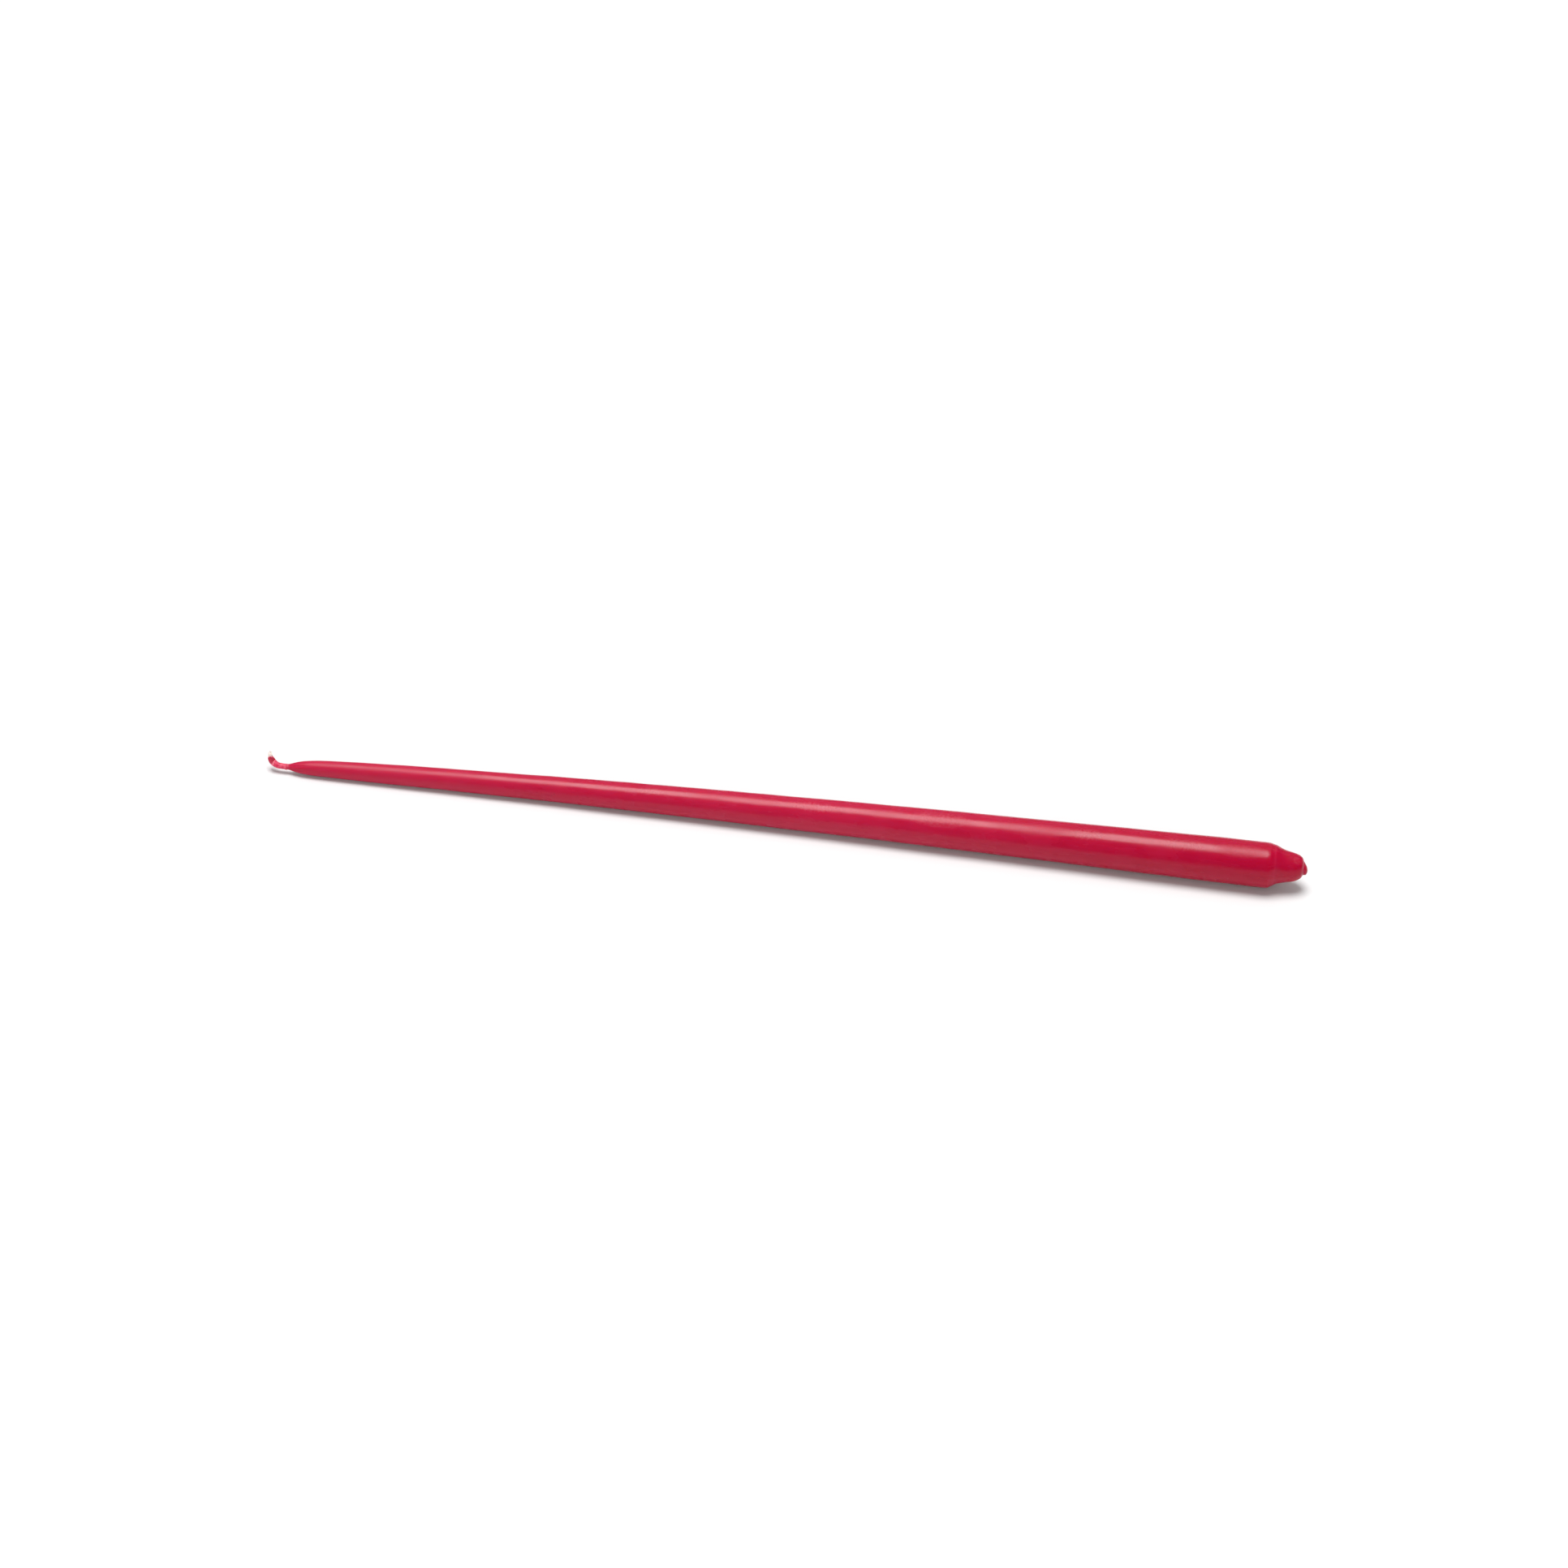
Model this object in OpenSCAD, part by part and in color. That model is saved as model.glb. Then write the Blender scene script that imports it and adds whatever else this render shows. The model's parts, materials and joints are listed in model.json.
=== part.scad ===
// Hand-dipped taper candle, lying on its side on the plane z = 0.
// The wick end points to -X and the butt to +X. All lengths are in millimetres.
//
// Along the wax, "t" is the distance from the shoulder of the butt towards the wick,
// so the nose below the shoulder has negative values of t.

/* [Wax] */
// Length of the wax from the drip on the nose to the neck at the wick
wax_length = 293.8; // [220:0.1:360]
// Diameter of the straight butt that a candle holder grips
butt_d = 13; // [11:0.1:22]
// Length of that straight stretch
barrel_length = 14; // [8:0.5:30]
// Diameter where the long taper ends and the tip begins to round over
tip_d = 5.4; // [4:0.1:9]
// Distance from the neck to that place
tip_length = 20; // [14:0.5:30]
// How much thicker the taper is at half its length than a straight cone
belly = 0.32; // [0:0.01:0.8]
// How far the last dip stands proud of the taper, all round the butt
dip_step = 0.03; // [0.02:0.01:0.1]
// Distance beyond the butt in which the underside comes down from that step to the floor
dip_fade = 18; // [5:1:40]
// How far the wick end bends away from the line of the butt
tip_drift = 4.5; // [0:0.1:8]

/* [Tip] */
// Distance from the neck at which the tip has won half its girth
tip_round = 2.9; // [1.5:0.1:5]
// Bluntness of the tip: 1 is a pointed cone, more is a bullet
tip_blunt = 1.7; // [1.2:0.05:3]

/* [Nose] */
// Distance from the shoulder to the waist, where the shoulder curve meets the cone
waist_at = 4.4; // [3.6:0.1:5.5]
// Diameter at the waist
waist_d = 9.9; // [9:0.1:10.8]
// Fall of the cone's radius for each millimetre of its length
cone_slope = 0.27; // [0.1:0.01:0.35]
// How far the curves of the shoulder hold their direction
shoulder_reach = 1.6; // [1:0.1:1.8]
// Distance from the shoulder to the face that carries the drip
nose_length = 10.6; // [9:0.1:14]
// Diameter of the face where the drip begins
face_d = 4; // [3.4:0.1:5.5]
// Diameter that the round edge of the face swells to
edge_d = 8.4; // [7.4:0.1:8.8]
// Depth of that round edge
edge_depth = 0.7; // [0.4:0.05:1.2]
// How far the cooled nose sits off the axis
nose_shift = 0.35; // [0:0.05:0.8]
// Length of the drip
drip_length = 1.3; // [1:0.1:3]
// Diameter of the drip
drip_d = 2.9; // [2.2:0.1:3.3]
// Diameter of the flat on the drip's end
drip_flat_d = 0.7; // [0.4:0.1:1.2]

/* [Wick] */
// Diameter of the braided cotton wick
wick_d = 1.3; // [1:0.05:1.5]
// Gap between the wick and the wax round it
wick_clearance = 0.02; // [0.01:0.01:0.05]
// Thickness of wax that covers the wick's lower end
wick_cover = 1.8; // [1:0.1:4]
// Diameter of the thin wax sleeve on the wick, and of the neck
sleeve_d = 1.7; // [1.65:0.05:2.2]
// Diameter where the wax has gathered in the bend of the wick
bead_d = 2; // [1.7:0.05:2.4]
// Length of straight wick above the neck
wick_straight = 2.3; // [1:0.1:8]
// Radius of the bend in the wick, at its middle line
hook_radius = 3.2; // [2.5:0.05:8]
// Angle that the bend turns through
hook_turn = 96; // [60:1:120]
// Angle between the floor and the plane that the wick bends in
hook_lean = 55; // [30:1:80]
// Length of bare cotton at the cut end
bare_length = 1.3; // [0.6:0.1:3]

/* [Smoothness] */
// Number of sides round the wax
wax_sides = 40; // [24:4:48]
// Number of sides round the wick
wick_sides = 12; // [8:2:16]

/* [Hidden] */

butt_r = butt_d / 2;
wax_r = butt_r - dip_step;
wick_r = wick_d / 2;
sleeve_r = sleeve_d / 2;
bead_r = bead_d / 2;

nose_total = nose_length + drip_length;
neck_t = wax_length - nose_total;
taper_end_t = neck_t - tip_length;
hook_length = hook_radius * hook_turn * PI / 180;
wick_out = wick_straight + hook_length;
sleeve_length = wick_out - bare_length;
bead_at = wick_straight + hook_length / 2;
bead_width = hook_length / 3;
hook_reach = wick_straight + hook_radius * sin(min(hook_turn, 90)) + wick_r;
overall_length = wax_length + hook_reach;
shoulder_x = overall_length / 2 - nose_total;

// Numbers of rings along each stretch
nose_steps = 5;
taper_steps = 14;
tip_steps = 12;
hook_steps = 14;
bare_steps = 2;
// Stretch at the wick end whose rings draw together, as a share of the tip's length
tip_zone = 1.25 * tip_length;
// How far inside the ends of the straight butt the nose and the taper begin
barrel_overlap = 0.5;
// Half of the short step that measures a direction
probe = 0.01;

// The bend's plane: its normal, and the direction that the wick curls to
bend_normal = [0, -sin(hook_lean), cos(hook_lean)];
curl = [0, cos(hook_lean), sin(hook_lean)];
// Places a vertex of each ring at its lowest point
ring_phase = 180 + hook_lean;

function unit(v) = v / norm(v);

function bezier(p, s) =
    p[0] * pow(1 - s, 3) + 3 * p[1] * s * pow(1 - s, 2) + 3 * p[2] * s * s * (1 - s) + p[3] * pow(s, 3);

// Radius of the long taper, without the rounding of its tip
function taper_r(t) =
    let (u = (t - barrel_length) / (taper_end_t - barrel_length))
    wax_r - (wax_r - tip_d / 2) * u + 2 * belly * u * (1 - u);

// Fall of the taper's radius for each millimetre, at the barrel
taper_slope = (taper_r(barrel_length) - taper_r(barrel_length + probe)) / probe;
barrel_lean = atan(taper_slope);

// Height of the axis: the underside of the taper lies on the floor, and the butt runs on in line
function axis_z(t) = t > barrel_length
    ? taper_r(t) + dip_step * max(0, 1 - (t - barrel_length) / dip_fade)
    : butt_r + taper_slope * (barrel_length - t);

// Sideways bend: none at the butt, and growing with the cube of the distance
function axis_y(t) = -tip_drift * pow(max(t, 0) / neck_t, 3);

function axis_at(t) = [shoulder_x - t, axis_y(t), axis_z(t)];
function axis_dir(t) = unit(axis_at(t + probe) - axis_at(t - probe));

// Radius of the wax above the shoulder, rounded over to the neck at the wick
function wax_r_at(t) =
    let (q = pow(max(neck_t - t, 0) / tip_round, tip_blunt), r = t > barrel_length ? taper_r(t) : wax_r)
    sleeve_r + (r - sleeve_r) * q / (1 + q);

// Half outline of the nose, as points of distance below the shoulder and radius
shoulder_curve = [
    [0, wax_r],
    [shoulder_reach, wax_r],
    [waist_at - shoulder_reach, waist_d / 2 + cone_slope * shoulder_reach],
    [waist_at, waist_d / 2]
];
cone_hold = (nose_length - waist_at) / 2;
cone_curve = [
    [waist_at, waist_d / 2],
    [waist_at + cone_hold, waist_d / 2 - cone_slope * cone_hold],
    [nose_length - edge_depth, edge_d / 2],
    [nose_length, face_d / 2]
];
drip_curve = [
    [nose_length, face_d / 2],
    [nose_length + drip_length / 8, drip_d / 2],
    [nose_total, drip_d / 2],
    [nose_total, drip_flat_d / 2]
];
nose_outline = [
    for (curve = [shoulder_curve, cone_curve, drip_curve], i = [1 : nose_steps]) bezier(curve, i / nose_steps)
];

// Off-centre shift of the nose: it grows from the shoulder to the waist and fades into the drip
function shift_at(w) =
    nose_shift * (w < waist_at ? sin(90 * w / waist_at) : min(1, (nose_total - w) / drip_length));

// Middle line and direction of the wick outside the neck, "s" millimetres along it
neck_dir = axis_dir(neck_t);
hook_normal = unit(bend_normal - (bend_normal * neck_dir) * neck_dir);
hook_up = cross(neck_dir, hook_normal);
function hook_angle(s) = max(s - wick_straight, 0) / hook_radius * 180 / PI;
function hook_at(s) =
    axis_at(neck_t) + min(s, wick_straight) * neck_dir
    + hook_radius * (sin(hook_angle(s)) * neck_dir + (1 - cos(hook_angle(s))) * hook_up);
function hook_dir(s) = cos(hook_angle(s)) * neck_dir + sin(hook_angle(s)) * hook_up;

// Radius of the wax sleeve on the bare part of the wick
function sleeve_r_at(s) = sleeve_r + (bead_r - sleeve_r) * exp(-pow((s - bead_at) / bead_width, 2));

// Places of the rings along the wax, from inside the butt to the neck and on to the sleeve's end
barrel_ts = [barrel_overlap, barrel_length - barrel_overlap];
taper_ts = [for (i = [1 : taper_steps]) barrel_length + (neck_t - tip_zone - barrel_length) * i / taper_steps];
tip_ts = [for (i = [1 : tip_steps]) neck_t - tip_zone * pow(1 - i / tip_steps, 2)];
wax_ts = concat(barrel_ts, taper_ts, tip_ts);
sleeve_ss = [for (i = [1 : hook_steps]) sleeve_length * i / hook_steps];
bare_ss = [for (i = [1 : bare_steps]) sleeve_length + bare_length * i / bare_steps];

// A station is a middle point, a direction and a radius
nose_stations = [
    for (i = [len(nose_outline) - 1 : -1 : 0])
        let (w = nose_outline[i][0])
        [axis_at(-w) + shift_at(w) * curl, axis_dir(-w), nose_outline[i][1]]
];
wax_stations = concat(
    nose_stations,
    [for (t = wax_ts) [axis_at(t), axis_dir(t), wax_r_at(t)]],
    [for (s = sleeve_ss) [hook_at(s), hook_dir(s), sleeve_r_at(s)]]
);
function wick_stations(gap) = concat(
    [for (t = concat([wick_cover - nose_total - gap], wax_ts)) [axis_at(t), axis_dir(t), wick_r + gap]],
    [for (s = concat(sleeve_ss, bare_ss)) [hook_at(s), hook_dir(s), wick_r + gap]]
);

function ring(station, sides) =
    let (
        dir = station[1],
        side = unit(bend_normal - (bend_normal * dir) * dir),
        up = cross(dir, side)
    )
    [
        for (i = [0 : sides - 1])
            let (a = ring_phase + 360 * i / sides)
            station[0] + station[2] * (cos(a) * side + sin(a) * up)
    ];

// Closed solid through a ring at each station
module sweep(stations, sides) {
    last = len(stations) - 1;
    polyhedron(
        points = [for (station = stations) each ring(station, sides)],
        faces = concat(
            [[for (i = [0 : sides - 1]) i]],
            [
                for (k = [0 : last - 1], i = [0 : sides - 1])
                    let (a = k * sides, b = a + sides, j = (i + 1) % sides)
                    [a + i, b + i, b + j, a + j]
            ],
            [[for (i = [sides - 1 : -1 : 0]) last * sides + i]]
        )
    );
}

// True round stretch of the butt, from the shoulder towards the wick
module barrel() {
    translate(axis_at(0))
        rotate([0, -90 - barrel_lean, 0])
            cylinder(h = barrel_length, r = butt_r, $fn = 96);
}

module wax_body() {
    color("#b5143c")
        difference() {
            union() {
                sweep(wax_stations, wax_sides);
                barrel();
            }
            sweep(wick_stations(wick_clearance), wick_sides);
        }
}

module wick() {
    color("#f3e4dc")
        sweep(wick_stations(0), wick_sides);
}

wax_body();
wick();
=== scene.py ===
"""Looks of a hand-dipped taper candle that lies on its side on a pale floor.

All lengths are in metres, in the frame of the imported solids: the candle lies along X with its wick
towards -X, and the floor is z = 0. Along the wax, "t" is the distance from the shoulder of the butt
towards the wick, and along the wick, "s" is the distance from the neck.
"""

import json
import logging
import math
from dataclasses import dataclass, field
from enum import Enum

import bpy
import numpy as np
from mathutils import Matrix, Vector


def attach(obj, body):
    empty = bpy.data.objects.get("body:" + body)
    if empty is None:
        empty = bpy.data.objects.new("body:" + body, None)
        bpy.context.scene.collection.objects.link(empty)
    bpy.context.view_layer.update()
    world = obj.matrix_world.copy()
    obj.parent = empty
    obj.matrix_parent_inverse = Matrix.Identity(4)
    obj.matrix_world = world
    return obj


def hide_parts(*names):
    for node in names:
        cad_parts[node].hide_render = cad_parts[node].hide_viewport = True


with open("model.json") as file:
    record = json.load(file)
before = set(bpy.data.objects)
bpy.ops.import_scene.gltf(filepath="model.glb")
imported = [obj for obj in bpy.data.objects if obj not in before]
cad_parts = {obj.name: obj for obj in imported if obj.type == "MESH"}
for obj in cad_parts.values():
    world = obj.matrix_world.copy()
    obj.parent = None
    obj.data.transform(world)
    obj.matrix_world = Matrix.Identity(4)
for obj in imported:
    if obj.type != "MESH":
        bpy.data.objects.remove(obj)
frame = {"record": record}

MM = 0.001
LOG = logging.getLogger("taper_candle")

Socket = bpy.types.NodeSocket
Triple = tuple[float, float, float]
Span = tuple[float, float]
Settings = dict[str, object]
Values = dict[str | int, object]


class Node(Enum):
    """The solids of the frame that the pieces stand for."""

    WAX = "wax_body"
    WICK = "wick"


class Slot(Enum):
    """The record's material slots."""

    WAX = "wax"
    COTTON = "cotton_wick"


class Mark(Enum):
    """Values that a mesh carries on its vertices for its tree or its finish."""

    SIDE = "side"
    UP = "up"
    RADIUS = "radius"
    ALONG = "along"
    RIPPLE = "ripple"
    LUMPS = "lumps"
    TURN = "turn"
    SCUFF = "scuff"
    DULL = "dull"
    SLEEVE = "sleeve"
    ROSE = "rose"
    FROST = "frost"
    SOAK = "soak"


def unit(vectors: np.ndarray) -> np.ndarray:
    """Returns the vectors, one to a row, each at length 1."""
    return vectors / np.linalg.norm(vectors, axis=-1, keepdims=True)


def ease(values: np.ndarray, start: float, end: float) -> np.ndarray:
    """Eases from 0 to 1 between two values.

    Args:
        values: where to evaluate.
        start: the value up to which the result is 0.
        end: the value from which it is 1.

    Returns:
        The share at each value.
    """
    share = np.clip((np.asarray(values, float) - start) / (end - start), 0, 1)
    return share * share * (3 - 2 * share)


def bell(values: np.ndarray, middle: float, width: float) -> np.ndarray:
    """Returns a bell of height 1 over the middle, falling to 1/e at the width."""
    return np.exp(-(((np.asarray(values, float) - middle) / width) ** 2))


def turned(angle: np.ndarray, degrees: float) -> np.ndarray:
    """Returns angles as they are seen from a new zero, between minus half a turn and half a turn."""
    return (angle - math.radians(degrees) + math.pi) % math.tau - math.pi


def bezier(points: list[tuple[float, float]], steps: int) -> np.ndarray:
    """Points along a cubic curve, without its first.

    Args:
        points: the curve's four control points.
        steps: how many points to return.

    Returns:
        The points, one to a row.
    """
    s = np.arange(1, steps + 1)[:, None] / steps
    p = np.array(points)
    return p[0] * (1 - s) ** 3 + 3 * p[1] * s * (1 - s) ** 2 + 3 * p[2] * s**2 * (1 - s) + p[3] * s**3


class Graph:
    """A node tree under construction: it adds nodes, sets what they hold and links them."""

    def __init__(self, tree: bpy.types.NodeTree) -> None:
        """Starts on a tree, which may hold nodes already."""
        self.tree = tree

    def add(
        self, kind: str, settings: Settings | None = None, values: Values | None = None
    ) -> bpy.types.Node:
        """Adds a node.

        Args:
            kind: the node's type.
            settings: properties of the node.
            values: for an input's name or number, its value or the socket that feeds it.

        Returns:
            The node.
        """
        node = self.tree.nodes.new(kind)
        for name, value in (settings or {}).items():
            setattr(node, name, value)
        for name, value in (values or {}).items():
            if isinstance(value, Socket):
                self.tree.links.new(value, node.inputs[name])
            else:
                node.inputs[name].default_value = value
        return node

    def out(self, kind: str, settings: Settings | None = None, values: Values | None = None) -> Socket:
        """Adds a node as add() does, and returns its first enabled output."""
        node = self.add(kind, settings, values)
        return next(socket for socket in node.outputs if socket.enabled)

    def math(self, operation: str, *values: object) -> Socket:
        """Returns the result of arithmetic on numbers or sockets."""
        return self.out("ShaderNodeMath", {"operation": operation}, dict(enumerate(values)))

    def whole(self, operation: str, *values: object) -> Socket:
        """Returns the result of arithmetic on whole numbers."""
        return self.out("FunctionNodeIntegerMath", {"operation": operation}, dict(enumerate(values)))

    def vector(self, operation: str, *values: object) -> Socket:
        """Returns the result of arithmetic on vectors."""
        return self.out("ShaderNodeVectorMath", {"operation": operation}, dict(enumerate(values)))

    def scaled(self, vector: Socket, factor: object) -> Socket:
        """Returns a vector times a number."""
        return self.out("ShaderNodeVectorMath", {"operation": "SCALE"}, {"Vector": vector, "Scale": factor})

    def xyz(self, *values: object) -> Socket:
        """Returns a vector made of three numbers."""
        return self.out("ShaderNodeCombineXYZ", None, dict(enumerate(values)))

    def noise(self, vector: Socket, scale: float, detail: float = 2.0, roughness: float = 0.5) -> Socket:
        """Returns noise from 0 to 1.

        Args:
            vector: where the noise is read.
            scale: how many of its patches fit in a unit of the vector.
            detail: how many finer layers it has.
            roughness: how strong the finer layers are.

        Returns:
            The noise at each point.
        """
        values = {"Vector": vector, "Scale": scale, "Detail": detail, "Roughness": roughness}
        return self.out("ShaderNodeTexNoise", None, values)

    def mark(self, mark: Mark) -> Socket:
        """Returns, in a material, a number that the mesh carries on its vertices."""
        return self.add("ShaderNodeAttribute", {"attribute_name": mark.value}).outputs["Fac"]

    def blend(self, share: Socket, first: object, second: object) -> Socket:
        """Mixes two colours.

        Args:
            share: how much of the second colour there is, from 0 to 1.
            first: the first colour, as three numbers or a socket.
            second: the second colour.

        Returns:
            The mixed colour.
        """
        node = self.add("ShaderNodeMix", {"data_type": "RGBA", "clamp_factor": True}, {"Factor": share})
        sockets = [socket for socket in node.inputs if socket.type == "RGBA"]
        for socket, colour in zip(sockets, (first, second)):
            if isinstance(colour, Socket):
                self.tree.links.new(colour, socket)
            else:
                socket.default_value = (*colour, 1.0)
        return next(socket for socket in node.outputs if socket.type == "RGBA")

    def ramp(self, value: Socket, start: float, end: float, low: float, high: float) -> Socket:
        """Maps a range of a value on another, and holds it there outside the range.

        Args:
            value: the value that is mapped.
            start: the value that becomes low.
            end: the value that becomes high.
            low: the result at the start.
            high: the result at the end.

        Returns:
            The mapped value.
        """
        return self.out("ShaderNodeMapRange", None, {0: value, 1: start, 2: end, 3: low, 4: high})


@dataclass(frozen=True)
class TreeInput:
    """A named input of a modifier's tree: its label, its kind of socket and its usual value."""

    label: str
    kind: str
    value: object = None


class ShapeTree:
    """A Geometry Nodes tree that turns a plain source object into a finished mesh."""

    title = "shape"
    inputs: tuple[TreeInput, ...] = ()

    def __init__(self) -> None:
        """Makes the tree, with its named inputs, and fills it."""
        self.tree = bpy.data.node_groups.new(self.title, "GeometryNodeTree")
        self.graph = Graph(self.tree)
        face = self.tree.interface
        face.new_socket("Geometry", in_out="INPUT", socket_type="NodeSocketGeometry")
        for entry in (*self.inputs, TreeInput("Material", "NodeSocketMaterial")):
            socket = face.new_socket(entry.label, in_out="INPUT", socket_type=entry.kind)
            if entry.value is not None:
                socket.default_value = entry.value
        face.new_socket("Geometry", in_out="OUTPUT", socket_type="NodeSocketGeometry")
        self.given = self.graph.add("NodeGroupInput").outputs
        smooth = self.graph.out("GeometryNodeSetShadeSmooth", None, {"Geometry": self.shape()})
        real = self.graph.out("GeometryNodeRealizeInstances", None, {"Geometry": smooth})
        dressed = {"Geometry": real, "Material": self.given["Material"]}
        painted = self.graph.out("GeometryNodeSetMaterial", None, dressed)
        self.graph.add("NodeGroupOutput", None, {"Geometry": painted})

    def shape(self) -> Socket:
        """Fills the tree, and returns the geometry that it makes."""
        raise NotImplementedError

    def attribute(self, mark: Mark, kind: str = "FLOAT") -> Socket:
        """Returns a value that the source object's vertices carry."""
        return self.graph.out("GeometryNodeInputNamedAttribute", {"data_type": kind}, {"Name": mark.value})

    def run(self, source: bpy.types.Object, values: Settings, name: str) -> bpy.types.Object:
        """Runs the tree on a source object and keeps only the result.

        Args:
            source: the object that the tree starts from. It is removed.
            values: what to set the named inputs to.
            name: the name of the new object.

        Returns:
            A plain mesh object at the origin, with no modifier.
        """
        modifier = source.modifiers.new(self.title, "NODES")
        modifier.node_group = self.tree
        labelled = {item.name: item for item in self.tree.interface.items_tree if item.in_out == "INPUT"}
        for label, value in values.items():
            modifier[labelled[label].identifier] = value
        depsgraph = bpy.context.evaluated_depsgraph_get()
        evaluated = source.evaluated_get(depsgraph)
        mesh = bpy.data.meshes.new_from_object(evaluated, preserve_all_data_layers=True, depsgraph=depsgraph)
        mesh.name = name
        mesh.materials.clear()
        mesh.materials.append(values["Material"])
        source.modifiers.remove(modifier)
        bpy.data.objects.remove(source)
        made = bpy.data.objects.new(name, mesh)
        bpy.context.scene.collection.objects.link(made)
        return made


class LoftTree(ShapeTree):
    """Runs a round skin through a row of stations, and lets waves and lumps wander over it.

    Each station is a vertex that carries the two axes of its ring, its radius, its distance along
    the piece, and the strength of the waves and of the lumps there.
    """

    title = "loft"
    seed_step = 7.3
    quick_offset = 3.1
    lump_offset = 5.7
    inputs = (
        TreeInput("Sides", "NodeSocketInt", 96),
        TreeInput("Slow Wave Height", "NodeSocketFloat", 0.0),
        TreeInput("Slow Wave Length", "NodeSocketFloat", 40 * MM),
        TreeInput("Slow Wave Width", "NodeSocketFloat", 9 * MM),
        TreeInput("Quick Wave Height", "NodeSocketFloat", 0.0),
        TreeInput("Quick Wave Length", "NodeSocketFloat", 6 * MM),
        TreeInput("Quick Wave Width", "NodeSocketFloat", 3 * MM),
        TreeInput("Lump Wave Height", "NodeSocketFloat", 0.0),
        TreeInput("Lump Wave Length", "NodeSocketFloat", 0.7 * MM),
        TreeInput("Lump Wave Width", "NodeSocketFloat", 0.5 * MM),
        TreeInput("Seed", "NodeSocketInt", 1),
        TreeInput("Weld", "NodeSocketFloat", 0.001 * MM),
    )

    def at_ring(self, mark: Mark | None, kind: str, ring: Socket) -> Socket:
        """Reads what a station carries.

        Args:
            mark: which value is read, or None for the station's place.
            kind: its kind of data.
            ring: the number of the station.

        Returns:
            The value.
        """
        value = self.attribute(mark, kind) if mark else self.graph.out("GeometryNodeInputPosition")
        wanted = {"Geometry": self.given["Geometry"], "Value": value, "Index": ring}
        return self.graph.out("GeometryNodeSampleIndex", {"data_type": kind}, wanted)

    def waves(self, along: Socket, outward: Socket, radius: Socket, size: str, offset: Socket) -> Socket:
        """Height of one set of waves.

        Args:
            along: the distance along the piece.
            outward: the direction away from the middle line.
            radius: the radius of the ring.
            size: the first word of the named inputs that say how large the waves are.
            offset: what moves the pattern from one seed to the next.

        Returns:
            The height at each vertex, up or down.
        """
        graph = self.graph
        lengthwise = graph.math("DIVIDE", along, self.given[f"{size} Wave Length"])
        across = graph.scaled(outward, graph.math("DIVIDE", radius, self.given[f"{size} Wave Width"]))
        place = graph.vector("ADD", across, graph.xyz(lengthwise, offset, 0.0))
        swing = graph.math("SUBTRACT", graph.noise(place, 1.0, 1.0), 0.5)
        return graph.math("MULTIPLY", swing, graph.math("MULTIPLY", self.given[f"{size} Wave Height"], 2.0))

    def shape(self) -> Socket:
        """Lays a grid of rings and sides round the stations.

        Returns:
            The closed skin.
        """
        graph, given = self.graph, self.given
        count = graph.out("GeometryNodeAttributeDomainSize", None, {"Geometry": given["Geometry"]})
        columns = graph.whole("ADD", given["Sides"], 1)
        grid = graph.out("GeometryNodeMeshGrid", None, {"Vertices X": count, "Vertices Y": columns})
        index = graph.out("GeometryNodeInputIndex")
        ring = graph.whole("DIVIDE_FLOOR", index, columns)
        turn = graph.math("DIVIDE", graph.whole("MODULO", index, columns), given["Sides"])
        angle = graph.math("MULTIPLY", turn, math.tau)
        sideways = graph.scaled(self.at_ring(Mark.SIDE, "FLOAT_VECTOR", ring), graph.math("COSINE", angle))
        upwards = graph.scaled(self.at_ring(Mark.UP, "FLOAT_VECTOR", ring), graph.math("SINE", angle))
        outward = graph.vector("ADD", sideways, upwards)
        radius = self.at_ring(Mark.RADIUS, "FLOAT", ring)
        along = self.at_ring(Mark.ALONG, "FLOAT", ring)
        seed = graph.math("MULTIPLY", given["Seed"], self.seed_step)
        slow = self.waves(along, outward, radius, "Slow", seed)
        quick_seed = graph.math("ADD", seed, self.quick_offset)
        quick = self.waves(along, outward, radius, "Quick", quick_seed)
        lumps = self.waves(along, outward, radius, "Lump", graph.math("ADD", seed, self.lump_offset))
        waves = graph.math("ADD", slow, quick)
        lift = graph.math("MULTIPLY", waves, self.at_ring(Mark.RIPPLE, "FLOAT", ring))
        lift = graph.math("MULTIPLY_ADD", lumps, self.at_ring(Mark.LUMPS, "FLOAT", ring), lift)
        reach = graph.scaled(outward, graph.math("ADD", radius, lift))
        place = graph.vector("ADD", self.at_ring(None, "FLOAT_VECTOR", ring), reach)
        marked = self.store(self.store(grid, Mark.ALONG, along), Mark.RADIUS, radius)
        marked = self.store(marked, Mark.TURN, graph.math("FRACT", turn))
        facing = graph.out("GeometryNodeFlipFaces", None, {"Mesh": marked})
        skin = graph.out("GeometryNodeSetPosition", None, {"Geometry": facing, "Position": place})
        return graph.out("GeometryNodeMergeByDistance", None, {"Geometry": skin, "Distance": given["Weld"]})

    def store(self, geometry: Socket, mark: Mark, value: Socket) -> Socket:
        """Keeps a number on each vertex.

        Args:
            geometry: what carries the numbers.
            mark: the name that they go by.
            value: the number at each vertex.

        Returns:
            The geometry with its numbers.
        """
        settings = {"data_type": "FLOAT", "domain": "POINT"}
        wanted = {"Geometry": geometry, "Name": mark.value, "Value": value}
        return self.graph.out("GeometryNodeStoreNamedAttribute", settings, wanted)


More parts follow.
